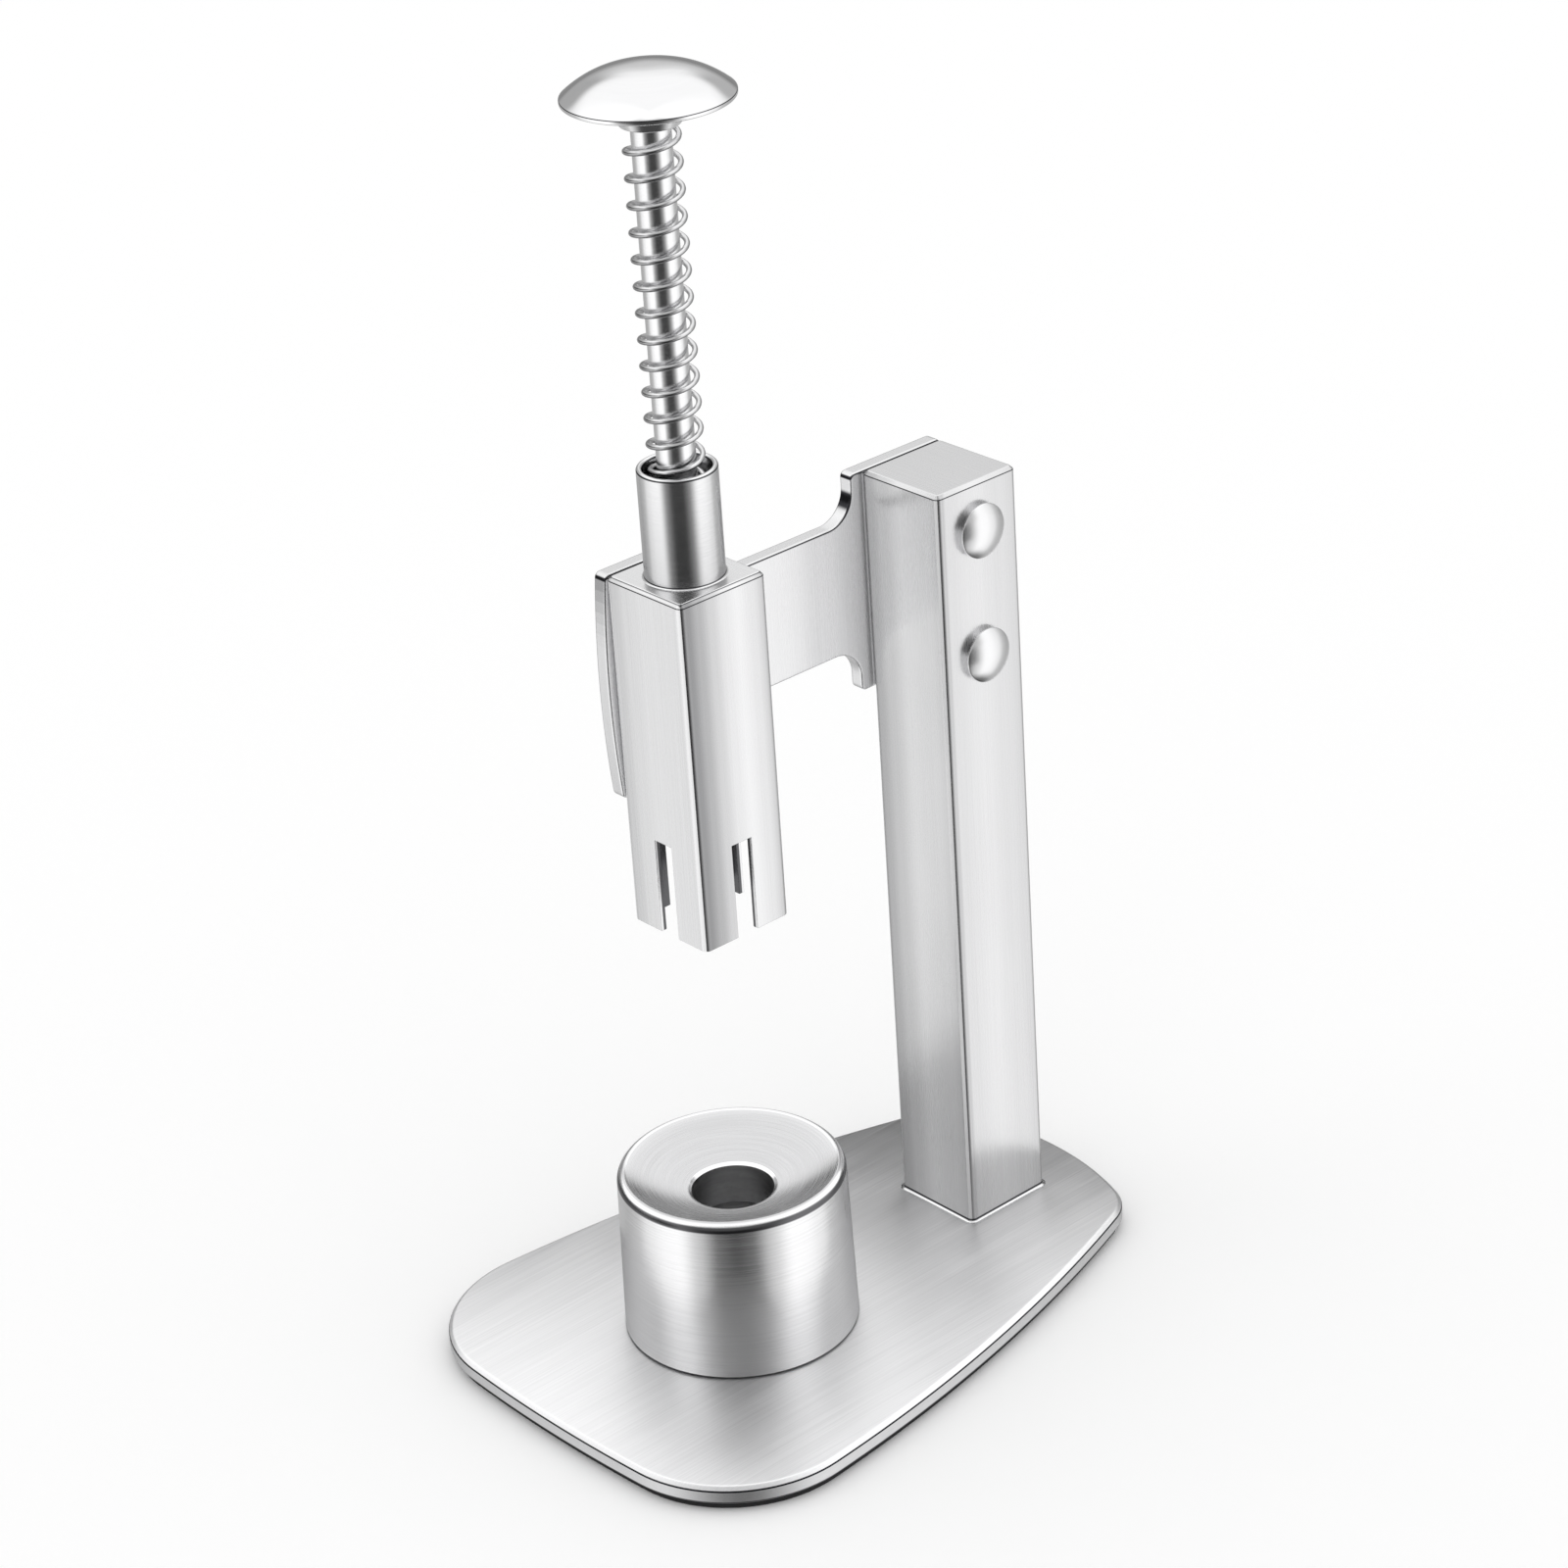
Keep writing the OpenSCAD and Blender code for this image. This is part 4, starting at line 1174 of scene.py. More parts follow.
@dataclass
class Arm(Assembly):
    """Dogbone arm plate and what fastens it to the post and to the head."""

    pad_height: float = 44 * MM
    pad_lip: float = 2.8 * MM
    pad_bulge: float = 1.2 * MM
    pad_corner: float = 1.2 * MM
    web_height: float = 25.8 * MM
    web_fillet: float = 6 * MM
    pad_pitch: float = 25 * MM
    edge: float = 0.4 * MM
    # Where the flat face starts, in edge radii from the edge
    flat_start: float = 1.8
    dome_diameter: float = 10.6 * MM
    dome_height: float = 2.9 * MM
    dome_rim: float = 0.3 * MM
    dome_slope: float = 33.0
    dome_undercut: float = 45.0
    dome_pole: float = 0.4
    sleeve_diameter: float = 6 * MM
    sleeve_gap: float = 0.2 * MM
    sleeve_edge: float = 0.3 * MM
    button_diameter: float = 7.6 * MM
    button_height: float = 2.2 * MM
    button_edge: float = 0.15 * MM
    thread: float = 2 * MM
    socket: float = 2.5 * MM
    socket_depth: float = 1.4 * MM
    socket_cone: float = 0.3 * MM
    # Top of the socket's wall in heights of the head, and widths of the wall and of the tip in widths of the
    # hexagon at the face
    socket_mouth: float = 0.86
    socket_taper: float = 0.96
    socket_tip: float = 0.05
    # First ring on the ball, on the way from the head's side to the hexagon
    ball_start: float = 0.06
    pole: float = 0.02 * MM

    def outline(self) -> np.ndarray:
        """Outline of the arm, Y along the first coordinate and height along the second.

        A quarter is the bow of the pad's end, its corner, which touches the bow inside, the inner corner
        and the fillet down to the web. Mirror images in both directions give the rest.

        Returns:
            The closed outline, counter-clockwise.
        """
        top, web, half = self.pad_height / 2, self.web_height / 2, self.levels.half_tube
        bow = (top ** 2 + self.pad_bulge ** 2) / (2 * self.pad_bulge)
        middle = np.array([bow - half - self.pad_bulge, 0])
        level, lip = top - self.pad_corner, half + self.pad_lip
        corner = np.array([middle[0] - math.sqrt((bow - self.pad_corner) ** 2 - level ** 2), level])
        turn = heading(middle, corner)
        quarter = np.concatenate([
            arc(middle, bow, 180, turn, 10),
            arc(corner, self.pad_corner, turn, 90, 8)[1:],
            arc([lip - self.pad_corner, level], self.pad_corner, 90, 0, 8),
            arc([lip + self.web_fillet, web + self.web_fillet], self.web_fillet, 180, 270, 20)])
        upper = np.concatenate([quarter, quarter[::-1] * [-1, 1] + [self.levels.reach, 0]])
        return held(np.concatenate([upper, upper[-2:0:-1] * [1, -1]])[::-1], closed=True)

    def plate(self) -> Skin:
        """Arm plate with softened edges, laid in the plane of Y and Z.

        Returns:
            The surface.
        """
        low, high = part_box("arm_plate")
        thick, flat = high.x - low.x, self.flat_start * self.edge
        edge = eased([(flat, 0, 0), (0, 0, self.edge), (0, thick, self.edge), (flat, thick, 0)])
        skin = loft(drawn_in(self.outline(), edge), Ends.FLAT)
        return skin.along_x((low.x, 0, self.levels.top - self.pad_height / 2), 1)

    def dome(self) -> Skin:
        """Domed sleeve nut about Z, with its sleeve below the head.

        The crown is part of a sphere, and a rim arc that touches it leads down to the flank, which draws
        in to the foot.

        Returns:
            The surface.
        """
        half, rim, steep = self.dome_diameter / 2, self.dome_rim, 90 - self.dome_slope
        slope = math.radians(self.dome_slope)
        ball = (half - rim) / math.sin(slope) + rim
        middle = self.dome_height - ball
        crown = np.concatenate([
            arc([half - rim, middle + (ball - rim) * math.cos(slope)], rim, -self.dome_undercut, steep, 12),
            arc([0, middle], ball, steep, 90 - self.dome_pole, 20)[1:]])
        foot = crown[0, 0] - crown[0, 1] * math.tan(math.radians(self.dome_undercut))
        sleeve, length = self.sleeve_diameter / 2, 2 * self.levels.half_tube - self.sleeve_gap
        flank = rounded([(self.pole, -length, 0), (sleeve, -length, self.sleeve_edge), (sleeve, 0, 0),
                         (foot, 0, 0)], closed=False, steps=3)
        return lathe(np.concatenate([flank, crown]), steps=SMALL_TURN_STEPS)

    def button(self, shank: float) -> Skin:
        """Button head screw about Z, with a hexagon socket.

        The head's top is part of a sphere. Towards the socket its rings change from circles to the
        hexagon, whose radius at an angle a is apothem / cos(a taken from the middle of a flat).

        Args:
            shank: Length of the screw below its head.

        Returns:
            The surface.
        """
        angle = np.linspace(0, 2 * np.pi, SMALL_TURN_STEPS, endpoint=False)
        hexagon = self.socket / 2 / np.cos((angle + np.pi / 6) % (np.pi / 3) - np.pi / 6)
        half, height = self.button_diameter / 2, self.button_height
        ball = (half ** 2 + height ** 2) / (2 * height)
        rows = [(self.pole, -shank), (self.thread, -shank), (self.thread, 0), (half - self.button_edge, 0),
                (half, self.button_edge)]
        for share in np.linspace(self.ball_start, 1, 12):
            radius = half + (hexagon - half) * share
            rows.append((radius, height - ball + np.sqrt(ball ** 2 - radius ** 2)))
        floor = height - self.socket_depth
        wall = self.socket_taper * hexagon
        rows += [(wall, self.socket_mouth * height), (wall, floor),
                 (self.socket_tip * hexagon, floor - self.socket_cone)]
        return loft(np.array([spun(angle, r, z) for r, z in rows]), Ends.POLES)

    def build(self) -> None:
        """Makes the plate, the two domed nuts and the four screws."""
        self.shop.piece("arm_plate_body", "arm_plate", Finishes.arm, self.plate())
        half, reach = self.levels.half_tube, self.levels.reach
        middle = self.levels.top - self.pad_height / 2
        heights = (middle - self.pad_pitch / 2, middle + self.pad_pitch / 2)
        nuts = [self.dome().along_x((half, reach, z), 1) for z in heights]
        self.shop.piece("domed_nuts", "dome_sleeve_nuts", Finishes.rivet, *nuts)
        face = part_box("arm_plate")[0].x
        for name, node, y in (("post_button_screws", "arm_screws", reach),
                              ("head_button_screws", "head_screws", 0.0)):
            screws = [self.button(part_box(node)[1].x - face).along_x((face, y, z), -1) for z in heights]
            self.shop.piece(name, node, Finishes.polished, *screws)


@dataclass
class Head(SquareTube):
    """Slotted head with its top plate, guide tube and bush."""

    wall: float = 1.2 * MM
    inner_corner: float = 0.3 * MM
    slot_width: float = 4.6 * MM
    slot_height: float = 18.6 * MM
    slot_edge: float = 0.12 * MM
    guide_wall: float = 1.1 * MM
    bush_gap: float = 0.03 * MM
    rod_gap: float = 0.05 * MM
    nose: float = 5.3 * MM
    nose_height: float = 4 * MM
    flange: float = 1.5 * MM
    weld: float = 0.45 * MM

    def tube(self) -> Skin:
        """Tube with a slot up the middle of each side, open at the foot.

        Returns:
            The surface.
        """
        foot, top = (corner.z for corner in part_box("head_tube"))
        roof, half, gap, hold = foot + self.slot_height, self.levels.half_tube, self.slot_width / 2, 3 * HOLD
        outer = self.outline(half, self.corner, (-gap, gap), hold)
        inner = self.outline(half - self.wall, self.inner_corner, (-gap, gap), hold)
        levels = np.array([foot, foot + hold, roof - hold, roof, roof + hold, top])
        in_slot = np.abs((outer + np.roll(outer, -1, axis=0)) / 2).min(axis=1) < gap
        below = (levels[1:] + levels[:-1]) / 2 < roof
        return walled(outer, inner, levels, below[:, None] & in_slot[None, :])

    def guide(self) -> Skin:
        """Guide tube with a rounded rim and a small weld at its foot.

        Returns:
            The surface.
        """
        low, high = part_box("guide_tube")
        radius, rim, deck = high.x, self.guide_wall / 2, self.levels.top
        side = [(radius - self.guide_wall, low.z), (radius, low.z), (radius, deck - HOLD)]
        lip = held(arc([radius - rim, high.z - rim], rim, 0, 180, 14))
        return lathe(np.concatenate([side, weld_bead(self.weld, radius, 1, deck, 5), lip]), Ends.LOOP)

    def bush(self) -> Skin:
        """Bush in the foot of the guide tube: nose, flange and spigot round a bore.

        Returns:
            The surface.
        """
        low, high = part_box("guide_bush")
        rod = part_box("plunger_rod")[1].x + self.rod_gap
        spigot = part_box("guide_tube")[1].x - self.guide_wall - self.bush_gap
        under = low.z + self.nose_height
        seat = under + self.flange
        corners = [(rod, low.z, 0.3), (self.nose, low.z, 0.5), (self.nose, under, 0.2), (high.x, under, 0.2),
                   (high.x, seat, 0.2), (spigot, seat, 0.1), (spigot, high.z, 0.3), (rod, high.z, 0.3)]
        path = rounded([(r, z, c * MM) for r, z, c in corners], closed=True, steps=3)
        return lathe(path, Ends.LOOP, SMALL_TURN_STEPS)

    def build(self) -> None:
        """Makes the tube, the top plate, the guide tube and the bush."""
        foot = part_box("head_end_plate")[0].z
        tube = self.shop.piece("head_tube_body", "head_tube", Finishes.head, self.tube())
        self.shop.soften(tube, self.slot_edge, foot - HOLD)
        plate = self.end_plate(foot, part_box("guide_tube")[1].x + self.bush_gap)
        for name, node, finish, skin in (("head_top_plate", "head_end_plate", Finishes.head, plate),
                                         ("guide_tube_body", "guide_tube", Finishes.drawn, self.guide()),
                                         ("guide_bush_body", "guide_bush", Finishes.bush, self.bush())):
            self.shop.piece(name, node, finish, skin)


@dataclass
class Plunger(Assembly):
    """Rod with its push cap above and its stoning punch below."""

    dome_rise: float = 4.9 * MM
    dome_power: float = 2.6
    dome_foot: float = 79.5
    dome_pole: float = 0.4
    rim: float = 0.8 * MM
    rim_radius: float = 0.3 * MM
    undercut: float = 0.6 * MM
    collar_foot: float = 10.6 * MM
    collar_top: float = 14 * MM
    collar_edge: float = 0.2 * MM
    collar_gap: float = 0.1 * MM
    cap_gap: float = 0.02 * MM
    stud: float = 4 * MM
    stud_edge: float = 0.2 * MM
    groove: float = 0.7 * MM
    end_edge: float = 0.1 * MM
    shank_edge: float = 0.3 * MM
    blade: float = 3.2 * MM
    blade_height: float = 8 * MM
    blade_thick: float = 1.5 * MM
    blade_edge: float = 0.15 * MM
    point_height: float = 2.6 * MM
    tip_share: float = 0.8
    root_share: float = 0.64
    # Rings in the hollow between the points, in shares of its width
    hollow_shares: tuple[float, ...] = (0.12, 0.5, 0.999)
    point_rise: float = 0.4

    def cap(self) -> Skin:
        """Domed cap.

        The dome's height at the radius r is rim + rise (1 - (r / R) to the power of dome_power), and its
        underside rises in a shallow cone from the collar to the rim.

        Returns:
            The surface.
        """
        low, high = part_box("push_cap")
        radius, foot = high.x, low.z
        level = foot + self.undercut
        share = np.sin(np.radians(np.linspace(self.dome_foot, self.dome_pole, 48)))
        rise = self.dome_rise * (1 - share ** self.dome_power)
        crown = np.stack([radius * share, level + self.rim + rise], axis=1)
        under = eased([(POLE, foot, 0), (self.collar_top / 2, foot, 0), (radius, level, self.rim_radius),
                       (radius, level + self.rim, self.rim_radius), (*crown[0], 0)], steps=5)
        return lathe(np.concatenate([under, crown[1:]]))

    def collar(self) -> Skin:
        """Cone under the cap, round the rod.

        Returns:
            The surface.
        """
        low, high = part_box("cap_collar")
        bore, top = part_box("plunger_rod")[1].x + self.collar_gap, high.z - self.cap_gap
        return lathe(eased([(bore, low.z, 0), (self.collar_foot / 2, low.z, self.collar_edge),
                            (self.collar_top / 2, top, 0), (bore, top, 0)], closed=True), Ends.LOOP)

    def rod(self) -> Skin:
        """Rod with the groove of its clip and a stud at the top.

        Returns:
            The surface.
        """
        low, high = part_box("plunger_rod")
        washer, clip, cap = (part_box(node)[0].z for node in ("stop_washer", "retaining_clip", "push_cap"))
        radius, stud, groove = high.x, self.stud / 2, high.x - self.groove
        path = eased([(POLE, low.z, 0), (radius, low.z, self.end_edge), (radius, clip, 0), (groove, clip, 0),
                      (groove, washer, 0), (radius, washer, 0), (radius, cap, 0), (stud, cap, 0),
                      (stud, high.z, self.stud_edge), (POLE, high.z, 0)], steps=3)
        return lathe(path, steps=SMALL_TURN_STEPS)

    def punch(self) -> list[Skin]:
        """Stoning punch: a round shank over four crossed blades cut to points.

        The blades are a cross drawn in to an envelope whose radius grows from the tips upwards, and the
        hollow between the points is a cone.

        Returns:
            The surfaces of the blades and of the shank.
        """
        low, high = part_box("punch")
        radius, tip, top = high.x, low.z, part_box("plunger_rod")[0].z
        shoulder, root = tip + self.blade_height, self.blade * self.root_share
        slope = self.point_height * self.point_rise / root
        rings = []
        for share in self.hollow_shares:
            ring = self.cross(root, tip) * [share, share, 1]
            ring[:, 2] = tip + np.maximum(0, slope * (root - np.linalg.norm(ring[:, :2], axis=1)))
            rings.append(ring)
        rings += [self.cross(reach, z) for reach, z in ((self.blade * self.tip_share, tip),
                                                        (self.blade, tip + self.point_height),
                                                        (self.blade, shoulder))]
        shank = eased([(POLE, shoulder, 0), (radius, shoulder, self.shank_edge), (radius, top, self.end_edge),
                       (POLE, top, 0)], steps=3)
        return [loft(np.array(rings), Ends.POLES), lathe(shank, steps=SMALL_TURN_STEPS)]

    def cross(self, reach: float, z: float) -> np.ndarray:
        """Ring in the shape of a plus sign with softened corners.

        Args:
            reach: Distance from the axis to the ends of the sign.
            z: Height of the ring.

        Returns:
            The ring, counter-clockwise.
        """
        half, soft = self.blade_thick / 2, self.blade_edge
        side = [(reach, half, soft), (half, half, soft), (half, reach, soft)]
        return at_height(rounded(four_sided(side), closed=True, steps=3), z)

    def build(self) -> None:
        """Makes the cap, its collar, the rod and the punch."""
        bright = Finishes.polished
        for name, node, finish, skins in (("push_cap_body", "push_cap", bright, [self.cap()]),
                                          ("cap_collar_body", "cap_collar", bright, [self.collar()]),
                                          ("plunger_rod_body", "plunger_rod", Finishes.drawn, [self.rod()]),
                                          ("stoning_punch", "punch", bright, self.punch())):
            self.shop.piece(name, node, finish, *skins, body=Body.PLUNGER)


@dataclass
class ReturnSpring(Assembly):
    """Compression spring round the rod, from the bush to the collar."""

    wire_diameter: float = 1 * MM
    mean_diameter: float = 9.3 * MM
    pitch: float = 4.8 * MM
    closed_pitch: float = 1.7 * MM
    seat_gap: float = 0.3 * MM
    head_angle: float = 155.0
    rings_per_turn: int = 40
    sides: int = 12

    def skin(self) -> Skin:
        """Wire along a helix: one closed turn at the foot, open turns above.

        After t turns the middle of the wire is at the height closed_pitch t, and past the first turn at
        closed_pitch + pitch (t - 1), at half the mean diameter from the axis.

        Returns:
            The surface.
        """
        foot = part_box("guide_bush")[1].z + self.seat_gap + self.wire_diameter / 2
        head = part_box("cap_collar")[0].z - self.seat_gap - self.wire_diameter / 2
        turns = 1 + (head - foot - self.closed_pitch) / self.pitch
        t = np.linspace(0, turns, round(turns * self.rings_per_turn))
        angle = np.radians(self.head_angle) + 2 * np.pi * (t - turns)
        rise = np.where(t < 1, self.closed_pitch * t, self.closed_pitch + self.pitch * (t - 1))
        path = spun(angle, self.mean_diameter / 2, foot + rise)
        slope = np.arctan(np.gradient(rise, t) / (np.pi * self.mean_diameter))
        up = np.stack([np.sin(angle) * np.sin(slope), -np.cos(angle) * np.sin(slope), np.cos(slope)], axis=1)
        return wire(path, spun(angle, 1, 0), up, self.wire_diameter / 2, self.sides)

    def build(self) -> None:
        """Makes the spring and gives it a mesh of its own; the real spring shortens towards the bush as the
        plunger goes down.
        """
        spring = self.shop.piece("return_spring_wire", "return_spring", Finishes.wire, self.skin())
        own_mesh(spring)


@dataclass
class Seat(Assembly):
    """Turned seat for the fruit, which lifts off its spigot."""

    draft: float = 0.7 * MM
    wall: float = 2.4 * MM
    foot_chamfer: float = 0.4 * MM
    foot_radius: float = 0.08 * MM
    side_radius: float = 0.15 * MM
    shoulder: float = 2.2 * MM
    rim_inset: float = 1.3 * MM
    rim_radius: float = 0.22 * MM
    crest: float = 0.05 * MM
    # Where the crest ends, and how far from it the shoulder stops and the dish starts, in degrees
    crest_stop: float = 115.0
    shoulder_short: float = 5.0
    dish_short: float = 0.55
    dish_depth: float = 4.7 * MM
    hole: float = 7.8 * MM
    bevel: float = 0.6 * MM
    bevel_radius: float = 0.1 * MM
    hole_length: float = 8.8 * MM
    chamber_radius: float = 0.4 * MM
    spigot_chamfer: float = 0.8 * MM
    screw_hole: float = 2.55 * MM
    screw_edge: float = 0.2 * MM
    screw_depth: float = 1 * MM

    def profile(self) -> np.ndarray:
        """Closed profile (radius, height) of the seat.

        The side tapers to a shoulder that is part of a circle, the dish is part of a sphere through the
        rim and the lip of the stone hole, and a bevel leads into the hole, which opens into a chamber. A
        small crest takes the last degrees of the shoulder and the first of the dish.

        Returns:
            The profile.
        """
        low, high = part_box("fruit_seat")
        foot, radius = low.z, high.x
        top, chamber = radius - self.draft, radius - self.wall
        across = self.shoulder - self.rim_inset
        drop = math.sqrt(self.shoulder ** 2 - across ** 2)
        middle = [top - self.shoulder, high.z - drop]
        turn = math.degrees(math.atan2(drop, across))
        rim = np.array([top - self.rim_inset, high.z])
        lip = np.array([self.hole + self.bevel, high.z - self.dish_depth])
        ball = np.array([0, (rim @ rim - lip @ lip) / (2 * self.dish_depth)])
        ceiling = lip[1] - self.hole_length
        side = rounded([(chamber, foot, 0), (radius - self.foot_chamfer, foot, self.foot_radius),
                        (radius, foot + self.foot_chamfer, self.side_radius), (top, middle[1], 0)], False, 4)
        shoulder = arc(middle, self.shoulder, 0, turn - self.shoulder_short, 14)[1:]
        crest = arc([rim[0] - self.crest, rim[1] - self.rim_radius], self.rim_radius, turn,
                    self.crest_stop, 6)
        bowl = arc(ball, float(np.linalg.norm(rim - ball)), heading(ball, rim) - self.dish_short,
                   heading(ball, lip), 40)
        hole = rounded([(*lip, 0), (self.hole, lip[1] - self.bevel, self.bevel_radius),
                        (self.hole, ceiling, self.side_radius), (chamber, ceiling, self.chamber_radius)],
                       False, 4)[1:]
        return held(np.concatenate([side, shoulder, crest, bowl, hole]), closed=True)

    def spigot(self) -> Skin:
        """Low disc on the base plate, over which the chamber fits.

        Returns:
            The surface.
        """
        low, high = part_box("seat_spigot")
        radius, top, cut, round_off = high.x, high.z, self.spigot_chamfer, self.side_radius
        sunk = top - self.screw_depth
        return lathe(eased([(POLE, low.z, 0), (radius, low.z, self.crest), (radius, top - cut, round_off),
                            (radius - cut, top, round_off), (self.screw_hole, top, self.screw_edge),
                            (self.screw_hole, sunk, 0), (POLE, sunk, 0)]))

    def build(self) -> None:
        """Makes the seat and the spigot."""
        seat = lathe(self.profile(), Ends.LOOP, SEAT_TURN_STEPS)
        self.shop.piece("fruit_seat_body", "fruit_seat", Finishes.turned, seat, body=Body.SEAT)
        self.shop.piece("seat_spigot_disc", "seat_spigot", Finishes.turned, self.spigot())


# Studio


@dataclass(frozen=True)
class Card:
    """A card of the studio: a patch of the surroundings that the metal reflects.

    Attributes:
        azimuth: Direction of its middle in degrees, from the camera, counter-clockwise seen from above.
        half_width: Half its width in degrees.
        side_edge: Half the width of its soft sides in degrees.
        low: Elevation of its lower edge in degrees.
        high: Elevation of its upper edge in degrees.
        level: Its brightness, where 1 is white.
        edge: Half the width of its soft upper and lower edges in degrees.
        once: Whether only the first reflection shows it.
    """

    azimuth: float
    half_width: float
    side_edge: float
    low: float
    high: float
    level: float
    edge: float
    once: bool = False


@dataclass
class Studio:
    """White floor and backdrop, soft light all round, and the cards that the metal reflects.

    Angles are in degrees, and azimuths are counted from the camera's.

    Attributes:
        camera_azimuth: Direction of the camera.
        round_about: Brightness by azimuth.
        overhead: Brightness above.
        overhead_step: Elevations over which the light from above takes over.
        behind: Brightness on the far side of the object by elevation.
        behind_step: Azimuths over which that takes over.
        underneath: Brightness far below the horizon.
        underneath_step: Elevations over which that gives way.
        cards: Cards laid over that.
        second: Brightness below the horizon after a second reflection.
        second_behind: Brightness above it on the far side after a second reflection.
        second_step: Azimuths over which that takes over.
        second_depth: Ray depth of the world past which a reflection is a second one.
        card_height: Height of the level card behind the seat.
        card_levels: Brightness of that card by distance behind the seat's axis.
        card_second: Share of that brightness which is left in a second reflection.
        card_second_step: Ray depths of the card over which a reflection becomes a second one.
        card_half_width: Half the width of that card.
        floor_half_width: Half the width of the floor.
    """

    camera_azimuth: float = -40.4
    round_about: Stops = (
        (0, 0.05), (14, 0.16), (38, 0.78), (58, 1.14), (74, 1.10), (94, 0.94), (112, 0.56), (140, 0.30),
        (165, 0.46), (180, 0.58))
    overhead: float = 1.15
    overhead_step: tuple[float, float] = (22, 42)
    behind: Stops = (
        (-40, 0.52), (-16, 0.44), (-5, 0.27), (5, 0.24), (9, 0.34), (17, 0.60), (23, 0.74), (28, 0.92),
        (42, 1.02))
    behind_step: tuple[float, float] = (105, 145)
    underneath: float = 0.06
    underneath_step: tuple[float, float] = (-64, -48)
    cards: tuple[Card, ...] = (
        Card(-100, 45, 15, -9, 14, 0.10, 4),
        Card(150, 14, 8, 11, 31, 0.46, 5),
        Card(-152, 16, 8, 8, 31, 0.40, 5),
        Card(-2, 40, 10, -26, 60, 0.25, 4),
        Card(-2, 24, 12, -29, 66, 0.05, 4),
        Card(-2, 52, 14, 11, 80, 0.50, 5, True),
    )
    second: float = 0.95
    second_behind: float = 0.42
    second_step: tuple[float, float] = (78, 112)
    second_depth: float = 2.5
    card_height: float = 0.062
    card_levels: Stops = (
        (-0.04, 1.2), (0.06, 1.35), (0.08, 1.2), (0.094, 0.62), (0.106, 0.18), (0.12, 0.02), (0.4, 0.0))
    card_second: float = 0.46
    card_second_step: tuple[float, float] = (1.4, 1.6)
    card_half_width: float = 0.3
    floor_half_width: float = 6.0

    def world(self) -> None:
        """Makes the world: white for the camera, even light for dull surfaces, cards for gloss.

        What gloss sees depends on the angle a between its azimuth and the camera's, by a curve in a, and
        on its elevation, by a smooth step to the light from above. Each card in turn mixes in its own
        level by one smooth step on the angle from its middle and two on the elevation.
        """
        world = bpy.data.worlds.new("studio_world")
        bpy.context.scene.world = world
        graph = NodeGraph(world)
        world.cycles.sampling_method = "NONE"
        x, y, z = graph.parts(graph.node("TexCoord").outputs["Generated"])
        height = graph.times(graph.maths("ARCSINE", z), math.degrees(1))
        along = graph.vector("NORMALIZE", graph.joined(x, y, 0.0))

        def turn(azimuth: float) -> Socket:
            """Angle between the ray and a direction on the horizon, the arc cosine of their dot product.

            Args:
                azimuth: Azimuth of the direction in degrees from the camera's.

            Returns:
                The angle in degrees.
            """
            way = math.radians(self.camera_azimuth + azimuth)
            facing = (math.cos(way), math.sin(way), 0.0)
            cosine = graph.vector("DOT_PRODUCT", along, facing, output="Value")
            return graph.times(graph.maths("ARCCOSINE", cosine), math.degrees(1))

        ahead = turn(0)
        level = graph.curve(ahead, self.round_about)
        level = graph.mix(graph.step(height, *self.overhead_step), level, self.overhead)
        level = graph.mix(graph.step(height, *self.underneath_step), self.underneath, level)
        level = graph.mix(graph.step(ahead, *self.behind_step), level, graph.curve(height, self.behind))
        path = graph.node("LightPath").outputs
        later = graph.maths("GREATER_THAN", path["Ray Depth"], self.second_depth)
        for card in self.cards:
            side, edge = card.side_edge, card.edge
            share = graph.times(
                graph.step(turn(card.azimuth), card.half_width - side, card.half_width + side, 1, 0),
                graph.step(height, card.low - edge, card.low + edge),
                graph.step(height, card.high - edge, card.high + edge, 1, 0))
            if card.once:
                share = graph.times(share, graph.maths("SUBTRACT", 1.0, later))
            level = graph.mix(share, level, card.level)
        beyond, below = graph.step(ahead, *self.second_step), graph.maths("LESS_THAN", height, 0.0)
        level = graph.mix(graph.times(later, beyond), level, self.second_behind)
        level = graph.mix(graph.times(later, below), level, self.second)
        plain = graph.maths("MAXIMUM", path["Is Camera Ray"],
                            graph.maths("MAXIMUM", path["Is Diffuse Ray"], path["Is Transmission Ray"]))
        shown = graph.grey(graph.mix(plain, level, 1.0))
        graph.show(graph.node("Background", {"Color": shown, "Strength": 1.0}), "World")

    def sheet(self, name: str, corners: Sequence[Sequence[float]],
              paint: bpy.types.Material) -> bpy.types.Object:
        """Flat four-cornered sheet of the studio.

        Args:
            name: Name of the sheet.
            corners: Its four corners.
            paint: Its material.

        Returns:
            The sheet.
        """
        mesh = bpy.data.meshes.new(name)
        mesh.from_pydata([tuple(c) for c in corners], [], [(0, 1, 2, 3)])
        mesh.materials.append(paint)
        made = bpy.data.objects.new(name, mesh)
        bpy.context.scene.collection.objects.link(made)
        return made

    def floor(self) -> None:
        """Makes the white floor, which the metal doesn't reflect."""
        paint = bpy.data.materials.new("white_floor")
        graph = NodeGraph(paint)
        graph.show(graph.node("BsdfDiffuse", {"Color": (1.0, 1.0, 1.0, 1.0)}))
        size = self.floor_half_width
        corners = [(-size, -size, 0), (size, -size, 0), (size, size, 0), (-size, size, 0)]
        floor = self.sheet("floor", corners, paint)
        floor.visible_glossy = False

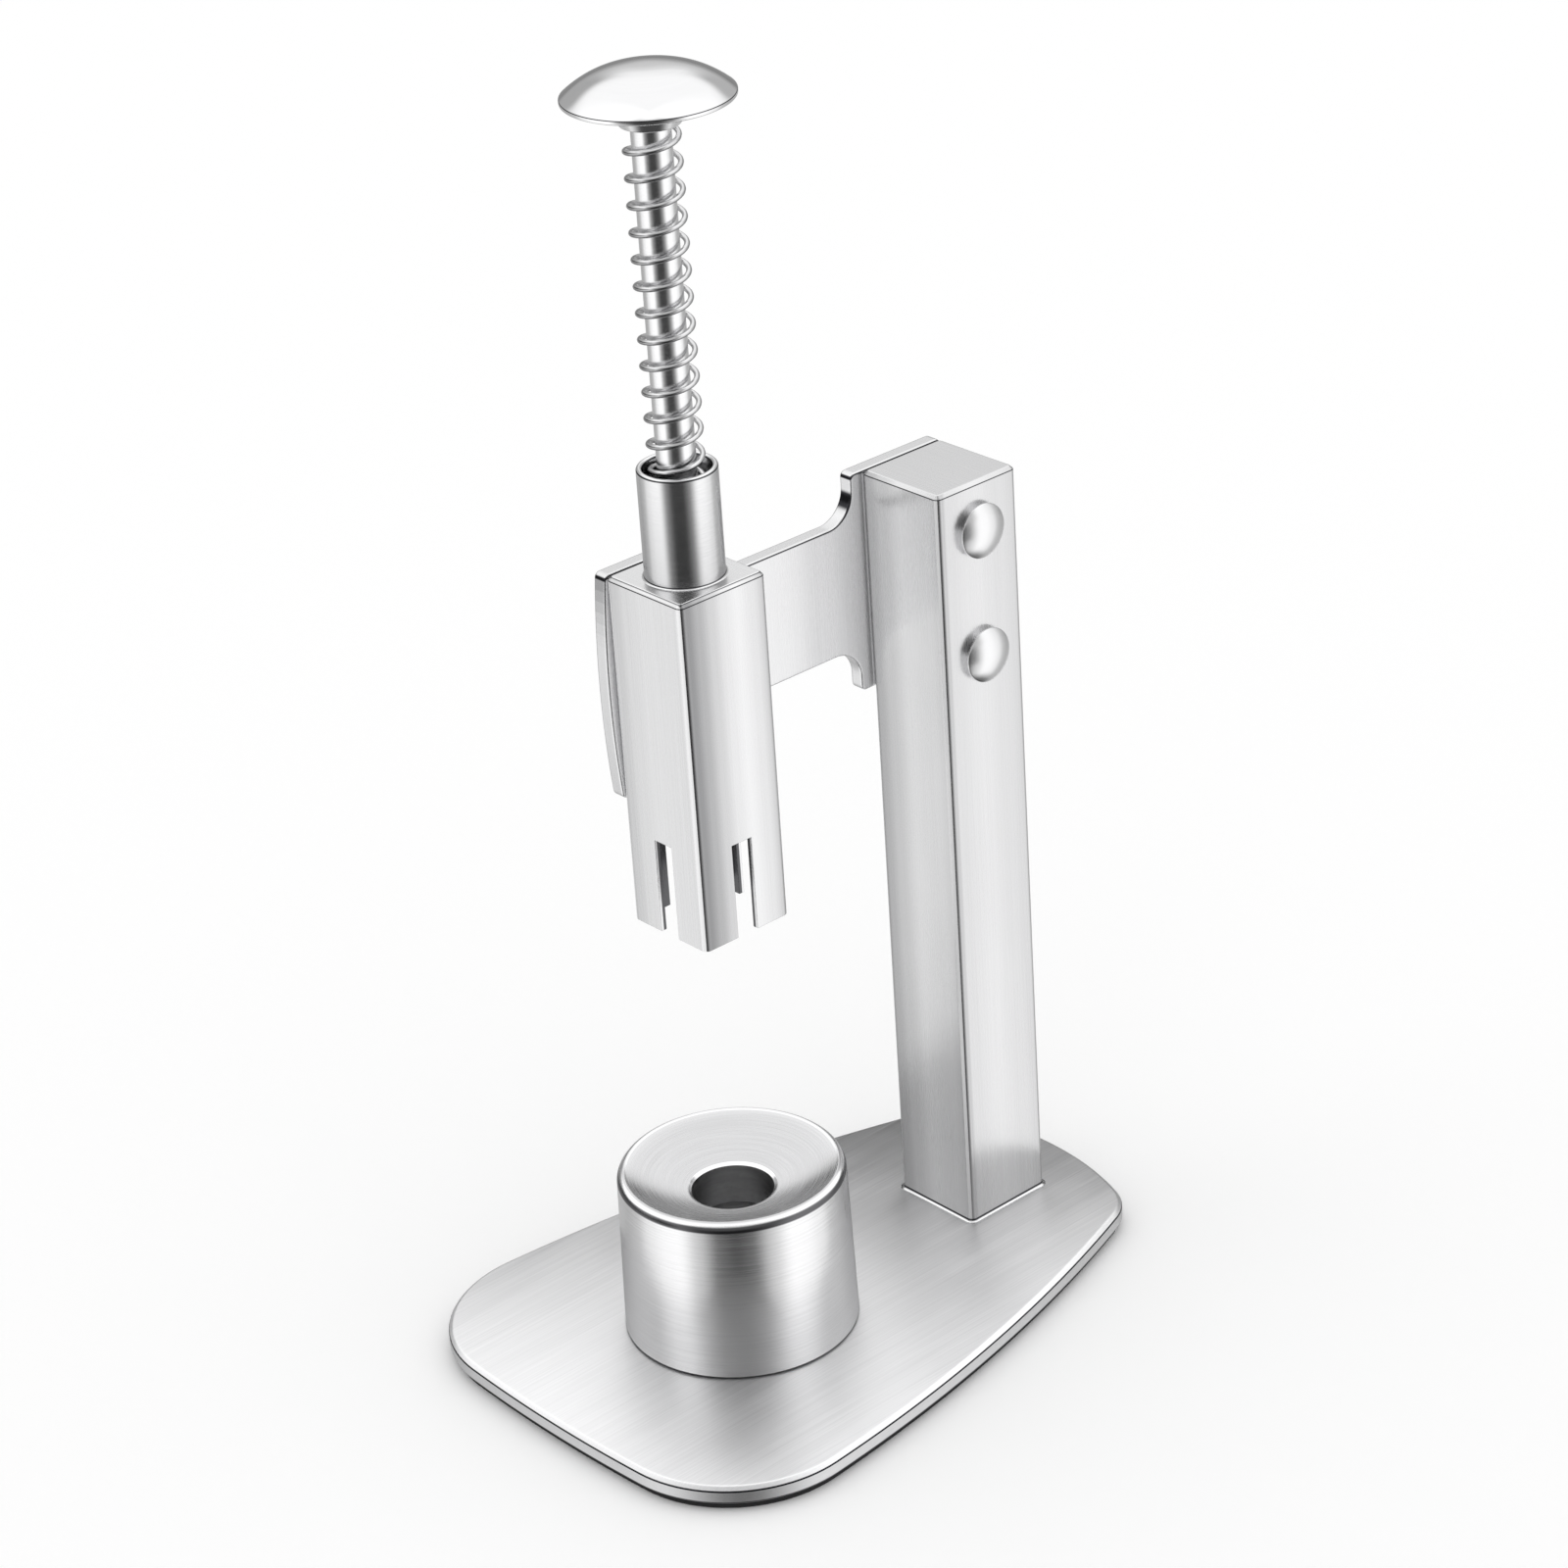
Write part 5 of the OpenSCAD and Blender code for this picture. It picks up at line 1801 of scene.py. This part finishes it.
    def level_card(self) -> None:
        """Makes the level card behind the seat, which only gloss sees, and only from below.

        The base plate mirrors it, bright in front and dark at the rear.
        """
        way = math.radians(self.camera_azimuth + 180)
        away = np.array([math.cos(way), math.sin(way), 0])
        side = np.array([-math.sin(way), math.cos(way), 0]) * self.card_half_width
        lift = np.array([0, 0, self.card_height])
        near, far = (away * self.card_levels[i][0] + lift for i in (0, -1))
        paint = bpy.data.materials.new("level_card_light")
        graph = NodeGraph(paint)
        depth = graph.vector("DOT_PRODUCT", graph.place(), tuple(away), output="Value")
        bounce = graph.node("LightPath").outputs["Ray Depth"]
        level = graph.times(graph.curve(depth, self.card_levels),
                            graph.step(bounce, *self.card_second_step, 1.0, self.card_second))
        glow = graph.node("Emission", {"Color": graph.grey(level), "Strength": 1.0})
        clear = graph.node("BsdfTransparent")
        from_below = graph.node("NewGeometry").outputs["Backfacing"]
        graph.show(graph.node("MixShader", {0: from_below, 1: clear.outputs[0], 2: glow.outputs[0]}))
        card = self.sheet("level_card", [near - side, far - side, far + side, near + side], paint)
        card.visible_camera = card.visible_diffuse = card.visible_shadow = card.visible_transmission = False

    def build(self) -> None:
        """Makes the world, the floor and the level card."""
        self.world()
        self.floor()
        self.level_card()
        bpy.context.scene.view_settings.view_transform = "Standard"


@dataclass
class Camera:
    """Camera at the photograph's place.

    Attributes:
        place: Where it stands.
        heading: Direction in which it looks, in degrees from +Y towards -X.
        pitch: Angle that it looks down, in degrees.
        roll: Angle that it is turned about its own line of sight, in degrees.
        focal: Focal length in pixels of the frame.
        frame_width: Width of the frame in pixels.
        sensor: Width of the sensor in millimetres.
        near: Distance from which it sees.
        far: Distance up to which it sees.
    """

    place: tuple[float, float, float] = (0.5451, -0.4443, 0.4715)
    heading: float = 49.617
    pitch: float = 26.749
    roll: float = -3.903
    focal: float = 4482.15
    frame_width: float = 1600.0
    sensor: float = 36.0
    near: float = 0.01
    far: float = 20.0

    def build(self) -> None:
        """Makes the camera through which the scene is seen.

        Forward is (-sin h cos p, cos h cos p, -sin p), and right is turned about it by the roll.
        """
        way, pitch, roll = (math.radians(v) for v in (self.heading, self.pitch, self.roll))
        forward = np.array([-math.sin(way) * math.cos(pitch), math.cos(way) * math.cos(pitch),
                            -math.sin(pitch)])
        level = np.array([math.cos(way), math.sin(way), 0])
        right = math.cos(roll) * level + math.sin(roll) * np.cross(level, forward)
        data = bpy.data.cameras.new("camera")
        data.sensor_width = self.sensor
        data.lens = self.focal / self.frame_width * self.sensor
        data.clip_start, data.clip_end = self.near, self.far
        made = bpy.data.objects.new("camera", data)
        matrix = np.eye(4)
        matrix[:3, :3] = np.stack([right, np.cross(right, forward), -forward], axis=1)
        matrix[:3, 3] = self.place
        made.matrix_world = Matrix(matrix.tolist())
        bpy.context.scene.collection.objects.link(made)
        bpy.context.scene.camera = made


def main() -> None:
    """Loads the frame and builds the pitter, the studio and the camera around it."""
    logging.basicConfig(level=logging.INFO, format="%(name)s: %(message)s")
    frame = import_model()
    levels = Levels.from_frame(frame)
    shop = Workshop()
    Camera().build()
    Studio().build()
    for assembly in (Base, Post, Arm, Head, Plunger, Seat, ReturnSpring):
        assembly(shop, levels).build()
    shop.dress(frame["nodes"], Finishes.plain, "post_foot_plug", "post_foot_screws", "spigot_screw",
               "head_threaded_strip", "stop_washer", "retaining_clip")


if __name__ == "__main__":
    main()
